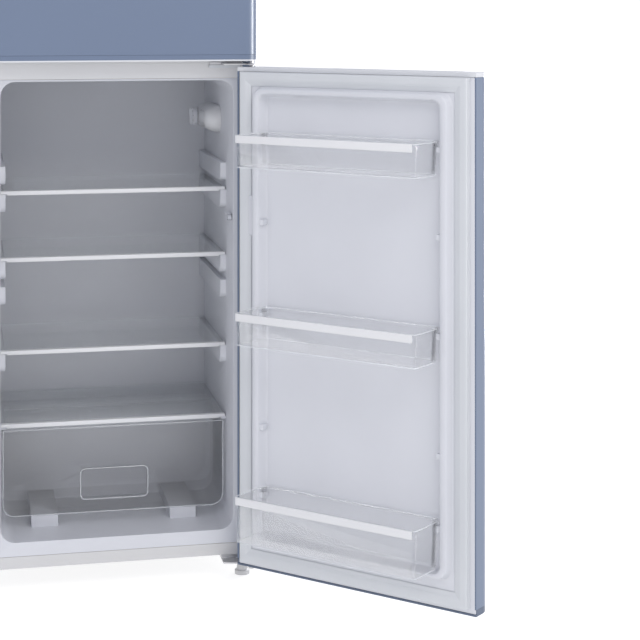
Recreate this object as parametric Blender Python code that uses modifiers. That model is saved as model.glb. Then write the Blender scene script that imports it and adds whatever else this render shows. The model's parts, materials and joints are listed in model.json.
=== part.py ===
"""Top freezer refrigerator, 545 mm wide, modelled with the fridge door standing open.

X runs across the front, +Y runs to the back, +Z is up. Sizes are in metres. Every piece is drawn in
the closed position in cabinet coordinates: the front flange is the plane Y = 0, the cabinet's middle
is X = 0 and the floor is Z = 0. Each door hangs from an empty on its hinge axis, and the root empty
then centres the whole model over the origin.
"""

import math

import bmesh
import bpy
from mathutils import Matrix, Vector

# Cabinet
CABINET_WIDTH = 0.545
CABINET_DEPTH = 0.500
CABINET_TOP = 1.430
CABINET_BOTTOM = 0.049
SHEET = 0.0008
SIDE_RETURN = 0.025
TOP_PANEL_HEIGHT = 0.012
FIT = 0.0003

# Fridge compartment, the open space inside its liner
FRIDGE_HALF_WIDTH = 0.2297
FRIDGE_FLOOR = 0.1002
FRIDGE_CEILING = 1.0022
FRIDGE_DEPTH = 0.430
STEP_FRONT = 0.300
STEP_TOP = 0.284
LINER = 0.0015
LINER_RADIUS = 0.028
FLANGE_RAIL_TOP = 0.0727
FRIDGE_FLANGE_RISE = 0.0042

# Freezer compartment
FREEZER_HALF_WIDTH = 0.215
FREEZER_FLOOR = 1.075
FREEZER_CEILING = 1.395
FREEZER_DEPTH = 0.400
FREEZER_SHELF_TOP = 1.240
FREEZER_SHELF_THICKNESS = 0.006
FREEZER_SHELF_FRONT = 0.050
FREEZER_SHELF_SLOTS = 9
FREEZER_LEDGE_PROUD = 0.010
FREEZER_FLANGE_DROP = 0.013

# Doors
OPEN_ANGLE = 133.5
DOOR_THICKNESS = 0.053
GASKET_GAP = 0.012
GASKET_WIDTH = 0.020
GASKET_INSET = 0.0128
DOOR_CORNER = 0.028
DOOR_HEM = 0.004
FRIDGE_DOOR_BOTTOM = 0.045
FRIDGE_DOOR_TOP = 1.030
FREEZER_DOOR_BOTTOM = 1.0423
FREEZER_DOOR_TOP = 1.425
CAP_TOP = 0.0078
CAP_BOTTOM = 0.0125
AXIS_INSET = 0.0127
AXIS_FORWARD = 0.0418
PIN_RADIUS = 0.004
PIN_CLEARANCE = 0.0006
PIN_REACH = 0.016
DIKE_HEIGHT = 0.021
DIKE_CLEARANCE = 0.0037
DIKE_WIDTH = 0.024
DIKE_FRAME = 0.017
DIKE_SILL = 0.012
DIKE_OUTER_RADIUS = 0.026
DIKE_INNER_RADIUS = 0.018
GRIP_LENGTH = 0.300
GRIP_DEPTH = 0.020
GRIP_RISE = 0.0052
GRIP_SETBACK = 0.006

# Shelves and ledges
SHELF_TOPS = {"top": 0.7765, "middle": 0.6419, "bottom": 0.4552}
COVER_TOP = 0.3079
GLASS = 0.004
SHELF_FRONT = 0.0988
SHELF_SIDE_GAP = 0.0025
SHELF_BACK_GAP = 0.0035
TRIM_DEPTH = 0.012
TRIM_HEIGHT = 0.0085
TRIM_OVER = 0.0018
LEDGE_HEIGHT = 0.0375
COVER_LEDGE = 0.005
LEDGE_PROUD = 0.012
LEDGE_FRONT = 0.101
LEDGE_SPARE_DROP = 0.052
LEDGE_OVER_RISE = 0.0135
LEDGE_NOSE = 0.016

# Crisper
CRISPER_FRONT = 0.0965
CRISPER_HALF_WIDTH = 0.2235
CRISPER_BOTTOM = 0.123
CRISPER_WALL = 0.0024
CRISPER_RADIUS = 0.024
CRISPER_CLEARANCE = 0.0015
PULL_HALF_WIDTH = 0.068
PULL_TOP = 0.212
PULL_BOTTOM = 0.150
PULL_DEPTH = 0.012
PULL_RADIUS = 0.010

# Door bins: top of the trim bar and height
DOOR_BINS = {"top": (0.9045, 0.063), "middle": (0.5640, 0.063), "bottom": (0.2130, 0.088)}
BIN_FRONT = 0.100
BIN_BACK = 0.004
BIN_WALL = 0.0022
BIN_RADIUS = 0.008
BIN_TAPER_GAP = 0.006
BIN_SHOULDER = 0.0225
BIN_OVERHANG = 0.0085
BIN_BAR_HEIGHT = 0.015
BIN_BAR_THICKNESS = 0.0030
BIN_BAR_INSET = 0.006
LUG_HEIGHT = 0.010
LUG_DEPTH = 0.014
LUG_GAP = 0.0008
BOSS_HEIGHT = 0.012
BOSS_DEPTH = 0.011
BOSS_GAP = 0.001
SPARE_BOSSES = (0.745, 0.345)
RACK_TOP = 1.190
RACK_HEIGHT = 0.055
RACK_DEPTH = 0.040

# Hinges
MIDDLE_ARM_BOTTOM = 1.0335
MIDDLE_ARM_THICKNESS = 0.003
HINGE_PLATE = 0.003
HINGE_ARM_HALF = 0.0115
HINGE_ARM_SHOULDER = 0.012
HINGE_LEFT = 0.205
PIN_OVERLAP = 0.001
MIDDLE_TAB_LEFT = 0.181
MIDDLE_TAB_BOTTOM = 1.0272
MIDDLE_TAB_THICKNESS = 0.0022
TOP_HINGE_LEFT = 0.196
TOP_HINGE_BACK = 0.050
BOTTOM_HINGE_BACK = 0.048
BOTTOM_HINGE_DROP = 0.0015
TOP_COVER_HEIGHT = 0.021
TOP_COVER_WALL = 0.002

# Machine compartment and back
BAY_FRONT = 0.335
BAY_TOP = 0.268
BAY_SLOPE_START = 0.205
BAY_SLOPE_END = 0.395
BASE_SHEET = 0.0012
COMPRESSOR_RADIUS = 0.064
COMPRESSOR_HEIGHT = 0.140
COMPRESSOR_X = 0.045
COMPRESSOR_SETBACK = 0.082
COMPRESSOR_Y = CABINET_DEPTH - COMPRESSOR_SETBACK
CONDENSER_TUBE = 0.0025
CONDENSER_PITCH = 0.076
CONDENSER_ROWS = 14
CONDENSER_BOTTOM = 0.335
CONDENSER_HALF_WIDTH = 0.215
RAIL_DEPTH = 0.009
RAIL_WIDTH = 0.012
RAIL_SPREAD = 0.150

# Feet
FOOT_X = 0.252
FOOT_Y = 0.030
FOOT_RADIUS = 0.015
STUD_RADIUS = 0.004
REAR_FOOT_Y = 0.465
REAR_FOOT_X = 0.235

# Lamp and thermostat housing on the right wall
LAMP_FRONT = 0.170
LAMP_BACK = 0.350
LAMP_BOTTOM = 0.884
LAMP_TOP = 0.940
LAMP_PROUD = 0.034
LAMP_WALL = 0.0022
LAMP_RADIUS = 0.020
WINDOW_MARGIN = 0.010
WINDOW_RADIUS = 0.008
KNOB_Y = LAMP_BACK - 0.050
KNOB_Z = (LAMP_BOTTOM + LAMP_TOP) / 2
KNOB_RADIUS = 0.0205
KNOB_PROUD = 0.011
SWITCH_HEIGHT = 0.7245
SWITCH_FRONT = 0.0125

HALF_WIDTH = CABINET_WIDTH / 2
DOOR_INNER = -GASKET_GAP
DOOR_FRONT = DOOR_INNER - DOOR_THICKNESS
AXIS = Vector((HALF_WIDTH - AXIS_INSET, -AXIS_FORWARD, 0.0))
ROUND = 24
CORNER_STEPS = 5
SHARP_ANGLE = 40


def clear_scene():
    for obj in list(bpy.data.objects):
        bpy.data.objects.remove(obj)


def collection(name, hidden=False):
    made = bpy.data.collections.new(name)
    bpy.context.scene.collection.children.link(made)
    made.hide_render = hidden
    return made


clear_scene()
PARTS = collection("refrigerator")
CUTTERS = collection("cutters", hidden=True)


def material(name, colour, roughness, metallic=0.0, alpha=1.0):
    made = bpy.data.materials.new(name)
    made.use_nodes = True
    shader = made.node_tree.nodes["Principled BSDF"]
    shader.inputs["Base Color"].default_value = (*colour, 1.0)
    shader.inputs["Roughness"].default_value = roughness
    shader.inputs["Metallic"].default_value = metallic
    shader.inputs["Alpha"].default_value = alpha
    made.diffuse_color = (*colour, 1.0)
    return made


BLUE = material("blue_paint", (0.21, 0.30, 0.42), 0.35)
WHITE = material("white_plastic", (0.78, 0.79, 0.81), 0.4)
WARM_GREY = material("warm_grey_plastic", (0.62, 0.61, 0.60), 0.45)
CAP_GREY = material("cap_grey", (0.58, 0.59, 0.61), 0.4)
CAP_BLUE = material("cap_blue", (0.12, 0.19, 0.28), 0.45)
SEAL = material("seal_rubber", (0.72, 0.73, 0.74), 0.6)
FOAM = material("foam", (0.80, 0.72, 0.50), 0.9)
STEEL = material("zinc_steel", (0.60, 0.60, 0.61), 0.35, 1.0)
BLACK = material("black_steel", (0.02, 0.02, 0.02), 0.5)
RUBBER = material("black_rubber", (0.03, 0.03, 0.03), 0.7)
CLEAR = material("clear_plastic", (0.85, 0.88, 0.90), 0.08, alpha=0.3)
GLASS_SHEET = material("shelf_glass", (0.80, 0.88, 0.86), 0.05, alpha=0.3)
BULB = material("bulb_glass", (0.95, 0.93, 0.85), 0.1)
COPPER = material("copper_tube", (0.72, 0.38, 0.24), 0.3, 1.0)


def pivot(name, at, parent=None):
    """An empty at a place in cabinet coordinates. What hangs from it is still drawn in those coordinates."""
    empty = bpy.data.objects.new(name, None)
    empty.empty_display_size = 0.05
    empty["at"] = list(at)
    PARTS.objects.link(empty)
    empty.parent = parent
    empty.location = Vector(at) - Vector(parent["at"] if parent else (0, 0, 0))
    return empty


def place(obj, holder, mat):
    """Hangs an object drawn in cabinet coordinates from its empty. One without a material is a helper."""
    obj.parent = holder
    obj.location = -Vector(holder["at"])
    (PARTS if mat else CUTTERS).objects.link(obj)
    if mat:
        obj.data.materials.append(mat)
    else:
        obj.hide_render = True
        obj.display_type = "WIRE"
    return obj


def to_object(name, bm, holder, mat):
    bmesh.ops.recalc_face_normals(bm, faces=bm.faces)
    mesh = bpy.data.meshes.new(name)
    bm.to_mesh(mesh)
    bm.free()
    return place(bpy.data.objects.new(name, mesh), holder, mat)


def smoothed(obj):
    """Shades a round piece smooth, with its flat ends left sharp."""
    obj.data.shade_smooth()
    obj.data.set_sharp_from_angle(angle=math.radians(SHARP_ANGLE))
    return obj


def add_cube(bm, low, high):
    low, high = Vector(low), Vector(high)
    size = Matrix.Diagonal((*(high - low), 1.0))
    return bmesh.ops.create_cube(bm, size=1.0, matrix=Matrix.Translation((low + high) / 2) @ size)


def block(holder, name, low, high, mat=None, radius=0.0, along="y", keep=None, steps=CORNER_STEPS):
    """A box. Its edges along one axis are rounded, all four or those whose middle passes keep."""
    bm = bmesh.new()
    add_cube(bm, low, high)
    if radius:
        axis = "xyz".index(along)
        edges = [
            edge
            for edge in bm.edges
            if abs((edge.verts[0].co - edge.verts[1].co)[axis]) > 1e-6
            and (keep is None or keep((edge.verts[0].co + edge.verts[1].co) / 2))
        ]
        bmesh.ops.bevel(bm, geom=edges, offset=radius, segments=steps, profile=0.5, affect="EDGES")
    return to_object(name, bm, holder, mat)


def blocks(holder, name, boxes, mat=None, nose=0.0):
    """Several boxes in one mesh, for a Boolean. A tall one has its lower front edge rounded by the nose."""
    bm = bmesh.new()
    for low, high in boxes:
        corners = add_cube(bm, low, high)["verts"]
        if nose and high[2] - low[2] > 2 * nose:
            middle = (Vector(low) + Vector(high)) / 2
            foot = [corner for corner in corners if corner.co.y < middle.y and corner.co.z < middle.z]
            edge = bm.edges.get(foot)
            bmesh.ops.bevel(bm, geom=[edge], offset=nose, segments=5, profile=0.5, affect="EDGES")
    return to_object(name, bm, holder, mat)


TURN = {
    "x": Matrix.Rotation(math.pi / 2, 4, "Y"),
    "y": Matrix.Rotation(-math.pi / 2, 4, "X"),
    "z": Matrix.Identity(4),
}


def rod(holder, name, start, length, radius, mat=None, along="z", end_radius=None, sides=ROUND):
    bm = bmesh.new()
    turn = TURN[along]
    middle = Vector(start) + turn @ Vector((0, 0, length / 2))
    bmesh.ops.create_cone(
        bm,
        cap_ends=True,
        segments=sides,
        radius1=radius,
        radius2=radius if end_radius is None else end_radius,
        depth=length,
        matrix=Matrix.Translation(middle) @ turn,
    )
    return smoothed(to_object(name, bm, holder, mat))


def cut(target, *cutters):
    for cutter in cutters:
        boolean(target, cutter, "DIFFERENCE")


def join(target, *others):
    for other in others:
        boolean(target, other, "UNION")


def boolean(target, other, operation):
    modifier = target.modifiers.new(operation.lower(), "BOOLEAN")
    modifier.solver = "EXACT"
    modifier.operation = operation
    modifier.object = other


def curve_to_mesh(curve, holder, name, mat, turn=Matrix.Identity(4)):
    drawn = bpy.data.objects.new(name + "_curve", curve)
    bpy.context.scene.collection.objects.link(drawn)
    graph = bpy.context.evaluated_depsgraph_get()
    mesh = bpy.data.meshes.new_from_object(drawn.evaluated_get(graph))
    bpy.data.objects.remove(drawn)
    bm = bmesh.new()
    bm.from_mesh(mesh)
    bpy.data.meshes.remove(mesh)
    bmesh.ops.remove_doubles(bm, verts=bm.verts, dist=1e-6)
    bmesh.ops.transform(bm, matrix=turn, verts=bm.verts)
    return to_object(name, bm, holder, mat)


# Takes a flat outline drawn in X and Y to the plane that it is extruded from.
OUTLINE_TURN = {
    "x": Matrix(((0, 0, 1, 0), (1, 0, 0, 0), (0, 1, 0, 0), (0, 0, 0, 1))),
    "y": Matrix(((1, 0, 0, 0), (0, 0, -1, 0), (0, 1, 0, 0), (0, 0, 0, 1))),
    "z": Matrix.Identity(4),
}


def plate(holder, name, outline, low, high, mat=None, along="z"):
    """A filled outline, extruded from low to high along an axis. Along x its points are (y, z)."""
    curve = bpy.data.curves.new(name, "CURVE")
    curve.dimensions = "2D"
    curve.fill_mode = "BOTH"
    curve.extrude = (high - low) / 2
    spline = curve.splines.new("POLY")
    spline.points.add(len(outline) - 1)
    for point, (u, v) in zip(spline.points, outline):
        point.co = (u, v, 0.0, 1.0)
    spline.use_cyclic_u = True
    shift = Vector([(low + high) / 2 if letter == along else 0.0 for letter in "xyz"])
    return curve_to_mesh(curve, holder, name, mat, Matrix.Translation(shift) @ OUTLINE_TURN[along])


def tube(holder, name, points, radius, mat=None, sides=2):
    curve = bpy.data.curves.new(name, "CURVE")
    curve.dimensions = "3D"
    curve.bevel_depth = radius
    curve.bevel_resolution = sides
    curve.use_fill_caps = True
    spline = curve.splines.new("POLY")
    spline.points.add(len(points) - 1)
    for point, place_at in zip(spline.points, points):
        point.co = (*place_at, 1.0)
    return smoothed(curve_to_mesh(curve, holder, name, mat))


def turned(holder, name, profile, at, mat, sides=ROUND):
    """A profile of (radius, height) pairs, listed from the top down, turned about a vertical axis."""
    bm = bmesh.new()
    verts = [bm.verts.new((radius, 0.0, height)) for radius, height in profile]
    for first, second in zip(verts, verts[1:]):
        bm.edges.new((first, second))
    mesh = bpy.data.meshes.new(name)
    bm.to_mesh(mesh)
    bm.free()
    obj = place(bpy.data.objects.new(name, mesh), holder, mat)
    obj.location = Vector(at) - Vector(holder["at"])
    screw = obj.modifiers.new("screw", "SCREW")
    screw.axis = "Z"
    screw.steps = sides
    screw.render_steps = sides
    screw.use_merge_vertices = True
    screw.merge_threshold = 0.0001
    return obj


def arc(centre, radius, start, end, steps=CORNER_STEPS + 1):
    """Points on an arc from one angle to another, in degrees."""
    angles = [math.radians(start + (end - start) * i / steps) for i in range(steps + 1)]
    return [(centre[0] + radius * math.cos(a), centre[1] + radius * math.sin(a)) for a in angles]


def ribbon(path, thickness):
    """The outline of a bent sheet: a path and the same path moved to its left by the thickness."""
    moved = []
    for index, (x, y) in enumerate(path):
        before = path[max(index - 1, 0)]
        after = path[min(index + 1, len(path) - 1)]
        first = unit(x - before[0], y - before[1]) if index else None
        last = unit(after[0] - x, after[1] - y) if index < len(path) - 1 else None
        first, last = first or last, last or first
        across = unit(-first[1] - last[1], first[0] + last[0])
        reach = thickness / (across[0] * -first[1] + across[1] * first[0])
        moved.append((x + across[0] * reach, y + across[1] * reach))
    return list(path) + moved[::-1]


def unit(x, y):
    length = math.hypot(x, y)
    return (x / length, y / length)


# ---------------------------------------------------------------- cabinet


def side_panel(cabinet, name, side):
    """A steel side with its front edge folded inwards."""
    path = [
        (side * (HALF_WIDTH - SIDE_RETURN), 0.0),
        (side * HALF_WIDTH, 0.0),
        (side * HALF_WIDTH, CABINET_DEPTH),
    ]
    outline = ribbon(path, SHEET * side)
    plate(cabinet, name, outline, CABINET_BOTTOM, CABINET_TOP - TOP_PANEL_HEIGHT - FIT, BLUE)


def top_panel(cabinet):
    low = CABINET_TOP - TOP_PANEL_HEIGHT
    wall = 0.002
    panel = block(
        cabinet,
        "top_panel",
        (-HALF_WIDTH, 0.0, low),
        (HALF_WIDTH, CABINET_DEPTH, CABINET_TOP),
        BLUE,
        radius=0.008,
        along="z",
        keep=lambda middle: middle.y < 0.1,
        steps=3,
    )
    inside = block(
        cabinet,
        "cut_top_panel",
        (-HALF_WIDTH + wall, wall, low - 0.01),
        (HALF_WIDTH - wall, CABINET_DEPTH - wall, CABINET_TOP - wall),
    )
    cut(panel, inside)


def back_panel(cabinet):
    block(
        cabinet,
        "back_panel",
        (-HALF_WIDTH + SHEET + FIT, CABINET_DEPTH - SHEET, BAY_TOP + BASE_SHEET + FIT),
        (HALF_WIDTH - SHEET - FIT, CABINET_DEPTH, CABINET_TOP - TOP_PANEL_HEIGHT - FIT),
        WARM_GREY,
    )


def bay_path(front, drop=0.0):
    """The bent sheet over the machine compartment, from its front edge to the back panel, as (y, z)."""
    return [
        (front, CABINET_BOTTOM + drop),
        (BAY_FRONT - drop, CABINET_BOTTOM + drop),
        (BAY_FRONT - drop, BAY_SLOPE_START + drop / 2),
        (BAY_SLOPE_END - drop / 2, BAY_TOP + drop),
        (CABINET_DEPTH, BAY_TOP + drop),
    ]


def base_plate(cabinet):
    outline = ribbon(bay_path(0.022), BASE_SHEET)
    half = HALF_WIDTH - SHEET - FIT
    base = plate(cabinet, "base_plate", outline, -half, half, STEEL, along="x")
    bores = [
        rod(cabinet, f"cut_base_stud_{i}", (x, FOOT_Y, 0.04), 0.02, STUD_RADIUS + PIN_CLEARANCE)
        for i, x in enumerate((-FOOT_X, FOOT_X))
    ]
    cut(base, *bores)


def compressor_tray(cabinet):
    """The steel channel that carries the compressor, with the two rear feet under it."""
    half = HALF_WIDTH - SHEET - FIT
    front = BAY_FRONT + FIT
    tray = block(
        cabinet,
        "compressor_tray",
        (-half, front, CABINET_BOTTOM),
        (half, CABINET_DEPTH, CABINET_BOTTOM + 0.002),
        STEEL,
    )
    feet = [
        rod(cabinet, f"rear_foot_{i}", (x, REAR_FOOT_Y, 0.0), CABINET_BOTTOM + 0.001, 0.016)
        for i, x in enumerate((-REAR_FOOT_X, REAR_FOOT_X))
    ]
    lip = blocks(
        cabinet,
        "tray_lip",
        [((-half, CABINET_DEPTH - 0.0015, CABINET_BOTTOM + 0.001), (half, CABINET_DEPTH, 0.068))],
    )
    join(tray, *feet, lip)


def fridge_hollow(cabinet, name, grow, front):
    """The fridge compartment with the step over the machine compartment, grown on every side."""
    space = block(
        cabinet,
        name,
        (-FRIDGE_HALF_WIDTH - grow, front, FRIDGE_FLOOR - grow),
        (FRIDGE_HALF_WIDTH + grow, FRIDGE_DEPTH + grow, FRIDGE_CEILING + grow),
        radius=LINER_RADIUS + grow,
    )
    wide = FRIDGE_HALF_WIDTH + 0.02
    step = block(
        cabinet,
        name + "_step",
        (-wide, STEP_FRONT + grow, FRIDGE_FLOOR - 0.02),
        (wide, FRIDGE_DEPTH + 0.02, STEP_TOP - grow),
        radius=0.018,
        along="x",
        keep=lambda middle: middle.y < FRIDGE_DEPTH and middle.z > FRIDGE_FLOOR,
    )
    cut(space, step)
    return space


def freezer_hollow(cabinet, name, grow, front):
    return block(
        cabinet,
        name,
        (-FREEZER_HALF_WIDTH - grow, front, FREEZER_FLOOR - grow),
        (FREEZER_HALF_WIDTH + grow, FREEZER_DEPTH + grow, FREEZER_CEILING + grow),
        radius=LINER_RADIUS + grow,
    )


def ledge_boxes():
    """Both walls' moulded ledges, as boxes that run a little into the wall and the back."""
    over = SHELF_TOPS["top"] + LEDGE_OVER_RISE + LEDGE_HEIGHT
    spare = SHELF_TOPS["middle"] - GLASS - FIT - LEDGE_SPARE_DROP
    tops = [over, spare, *(top - GLASS - FIT for top in SHELF_TOPS.values())]
    spans = [(top - LEDGE_HEIGHT, top, FRIDGE_DEPTH + LINER / 2) for top in tops]
    cover = COVER_TOP - GLASS - FIT
    spans.append((cover - COVER_LEDGE, cover, STEP_FRONT + LINER / 2))
    boxes = []
    for side in (-1, 1):
        near = side * (FRIDGE_HALF_WIDTH - LEDGE_PROUD)
        far = side * (FRIDGE_HALF_WIDTH + LINER / 2)
        for low, high, back in spans:
            boxes.append(((min(near, far), LEDGE_FRONT, low), (max(near, far), back, high)))
    return boxes


def crisper_pad_boxes():
    """The two blocks on the liner's floor that the crisper stands on."""
    boxes = []
    for side in (-1, 1):
        edges = sorted((side * 0.113, side * 0.1665))
        boxes.append(
            (
                (edges[0], CRISPER_FRONT + 0.002, FRIDGE_FLOOR - LINER / 2),
                (edges[1], STEP_FRONT - 0.012, CRISPER_BOTTOM - FIT),
            )
        )
    return boxes


def liner(cabinet, name, hollow, flange_low, flange_high, extras):
    """A moulded liner: its box and front flange, hollowed out, then the mouldings on its walls."""
    half = HALF_WIDTH - SIDE_RETURN - FIT
    shell = hollow(cabinet, name + "_outer", LINER, 0.0)
    body = block(cabinet, name, (-half, 0.0, flange_low), (half, LINER, flange_high), WHITE)
    join(body, shell)
    cut(body, hollow(cabinet, name + "_inner", 0.0, -0.02))
    if extras:
        join(body, blocks(cabinet, name + "_mouldings", extras, nose=LEDGE_NOSE))
    return body


def crossbar(cabinet):
    """The bar between the two compartments that both gaskets and the middle hinge bear on."""
    half = HALF_WIDTH - SIDE_RETURN - FIT
    low = FRIDGE_CEILING + FRIDGE_FLANGE_RISE + FIT
    high = FREEZER_FLOOR - FREEZER_FLANGE_DROP - FIT
    block(cabinet, "crossbar", (-half, 0.0, low), (half, LINER, high), WARM_GREY)


def bottom_rail(cabinet):
    half = HALF_WIDTH - SIDE_RETURN - FIT
    path = [(0.019, CABINET_BOTTOM), (0.0, CABINET_BOTTOM), (0.0, FLANGE_RAIL_TOP - FIT)]
    outline = ribbon(path, -BASE_SHEET)
    plate(cabinet, "bottom_rail", outline, -half, half, WARM_GREY, along="x")


def insulation(cabinet):
    """The foam that fills the cabinet round both liners."""
    half = HALF_WIDTH - SHEET - FIT
    foam = block(
        cabinet,
        "insulation_foam",
        (-half, 0.004, CABINET_BOTTOM + BASE_SHEET + FIT),
        (half, CABINET_DEPTH - SHEET - FIT, CABINET_TOP - TOP_PANEL_HEIGHT - FIT),
        FOAM,
    )
    rise = BASE_SHEET + FIT
    path = bay_path(BAY_FRONT - rise, rise)[1:]
    outline = [(BAY_FRONT - rise, 0.0), *path[1:-1], (CABINET_DEPTH + 0.02, BAY_TOP + rise)]
    outline.append((CABINET_DEPTH + 0.02, 0.0))
    bay = plate(cabinet, "cut_bay", outline, -HALF_WIDTH, HALF_WIDTH, along="x")
    cut(
        foam,
        bay,
        fridge_hollow(cabinet, "cut_fridge", LINER + FIT, -0.02),
        freezer_hollow(cabinet, "cut_freezer", LINER + FIT, -0.02),
    )
    studs = [
        rod(cabinet, f"cut_foam_stud_{i}", (x, FOOT_Y, 0.0), CABINET_BOTTOM + 0.022, STUD_RADIUS + 0.002)
        for i, x in enumerate((-FOOT_X, FOOT_X))
    ]
    cut(foam, *studs)


def build_cabinet(cabinet):
    side_panel(cabinet, "left_side_panel", -1)
    side_panel(cabinet, "right_side_panel", 1)
    top_panel(cabinet)
    back_panel(cabinet)
    base_plate(cabinet)
    compressor_tray(cabinet)
    bottom_rail(cabinet)
    crossbar(cabinet)
    liner(
        cabinet,
        "fridge_liner",
        fridge_hollow,
        FLANGE_RAIL_TOP,
        FRIDGE_CEILING + FRIDGE_FLANGE_RISE,
        ledge_boxes() + crisper_pad_boxes(),
    )
    liner(
        cabinet,
        "freezer_liner",
        freezer_hollow,
        FREEZER_FLOOR - FREEZER_FLANGE_DROP,
        CABINET_TOP - TOP_PANEL_HEIGHT - FIT,
        freezer_ledge_boxes(),
    )
    insulation(cabinet)


def freezer_ledge_boxes():
    boxes = []
    top = FREEZER_SHELF_TOP - FREEZER_SHELF_THICKNESS - FIT
    near = FREEZER_HALF_WIDTH - FREEZER_LEDGE_PROUD
    far = FREEZER_HALF_WIDTH + LINER / 2
    for side in (-1, 1):
        edges = sorted((side * near, side * far))
        low = (edges[0], FREEZER_SHELF_FRONT + 0.010, top - 0.012)
        boxes.append((low, (edges[1], FREEZER_DEPTH + LINER / 2, top)))
    return boxes


# ---------------------------------------------------------------- hinges and feet


def arm_outline(left, back, grow=0.0):
    """A hinge arm seen from above: square at the cabinet and rounded about the hinge axis."""
    half = HINGE_ARM_HALF + grow
    nose = arc((AXIS.x, AXIS.y), half, -180, 0, 12)
    shoulder = AXIS.y + HINGE_ARM_SHOULDER - grow
    return [(left - grow, back + grow), (left - grow, shoulder), *nose, (AXIS.x + half, back + grow)]


def hinge_pin(cabinet, name, low, high, radius=PIN_RADIUS):
    return rod(cabinet, name, (AXIS.x, AXIS.y, low), high - low, radius)


def middle_hinge(cabinet):
    """An arm between the doors with a pin up and a pin down, and the tab screwed to the crossbar."""
    low = MIDDLE_ARM_BOTTOM
    top = low + MIDDLE_ARM_THICKNESS
    hinge = plate(cabinet, "middle_hinge", arm_outline(HINGE_LEFT, -FIT), low, top, BLACK)
    right = HALF_WIDTH - SIDE_RETURN
    tab_front = -FIT - MIDDLE_TAB_THICKNESS
    tab = block(
        cabinet,
        "middle_tab",
        (MIDDLE_TAB_LEFT, tab_front, MIDDLE_TAB_BOTTOM),
        (right, -FIT, top + 0.002),
    )
    down = hinge_pin(cabinet, "pin_down", low - PIN_REACH, top - PIN_OVERLAP)
    up = hinge_pin(cabinet, "pin_up", low + PIN_OVERLAP, top + PIN_REACH)
    join(hinge, tab, down, up)
    cover_back = tab_front - FIT
    block(
        cabinet,
        "middle_hinge_cover",
        (MIDDLE_TAB_LEFT - 0.002, cover_back - 0.0037, MIDDLE_TAB_BOTTOM - 0.0007),
        (right - 0.006, cover_back, low - FIT),
        CAP_GREY,
        radius=0.0028,
        keep=lambda middle: middle.x < HINGE_LEFT,
        steps=4,
    )


def top_hinge(cabinet):
    """The arm screwed on top of the cabinet with the freezer door's upper pin, under a moulded cover."""
    low = CABINET_TOP + FIT
    left, back = TOP_HINGE_LEFT, TOP_HINGE_BACK
    hinge = plate(cabinet, "top_hinge", arm_outline(left, back), low, low + HINGE_PLATE, BLACK)
    join(hinge, hinge_pin(cabinet, "top_pin", FREEZER_DOOR_TOP - PIN_REACH, low + PIN_OVERLAP))
    wall = TOP_COVER_WALL
    cover = block(
        cabinet,
        "top_hinge_cover",
        (left - FIT - 2 * wall, AXIS.y - HINGE_ARM_HALF - 0.0035, low),
        (HALF_WIDTH - FIT, back + FIT + 2 * wall, low + TOP_COVER_HEIGHT),
        BLUE,
        radius=0.010,
        along="z",
        keep=lambda middle: middle.y < 0.0,
        steps=4,
    )
    inside = plate(
        cabinet,
        "cut_top_cover",
        arm_outline(left, back, FIT),
        low - 0.01,
        low + TOP_COVER_HEIGHT / 2,
    )
    cut(cover, inside)


def bottom_hinge(cabinet):
    """The bracket under the cabinet that carries the fridge door's lower pin and the right front foot."""
    top = FRIDGE_DOOR_BOTTOM - BOTTOM_HINGE_DROP
    low = top - HINGE_PLATE
    hinge = plate(cabinet, "bottom_hinge", arm_outline(HINGE_LEFT, BOTTOM_HINGE_BACK), low, top, BLACK)
    riser = block(
        cabinet,
        "bottom_riser",
        (HINGE_LEFT, 0.001, top - PIN_OVERLAP),
        (HALF_WIDTH - 0.002, BOTTOM_HINGE_BACK, CABINET_BOTTOM - FIT),
    )
    pin = hinge_pin(cabinet, "bottom_pin", top - PIN_OVERLAP, top + PIN_REACH - PIN_OVERLAP)
    stop = hinge_pin(cabinet, "bottom_stop", low - 0.008, low + PIN_OVERLAP, radius=0.0065)
    join(hinge, riser, pin, stop)
    radius = STUD_RADIUS + PIN_CLEARANCE
    cut(hinge, rod(cabinet, "cut_bottom_stud", (FOOT_X, FOOT_Y, 0.0), CABINET_BOTTOM, radius))


def front_foot(cabinet, name, x):
    """A levelling foot: a moulded pad with a threaded stud up into the base."""
    axis = (x, FOOT_Y, 0.0)
    foot = pivot(name + "_axis", axis, cabinet)
    profile = [
        (0.0, CABINET_BOTTOM + 0.018),
        (STUD_RADIUS, CABINET_BOTTOM + 0.018),
        (STUD_RADIUS, 0.022),
        (0.010, 0.020),
        (0.0115, 0.010),
        (FOOT_RADIUS, 0.008),
        (FOOT_RADIUS, 0.0),
        (0.0, 0.0),
    ]
    turned(foot, name, profile, axis, RUBBER)


# ---------------------------------------------------------------- machine compartment and back


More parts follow.
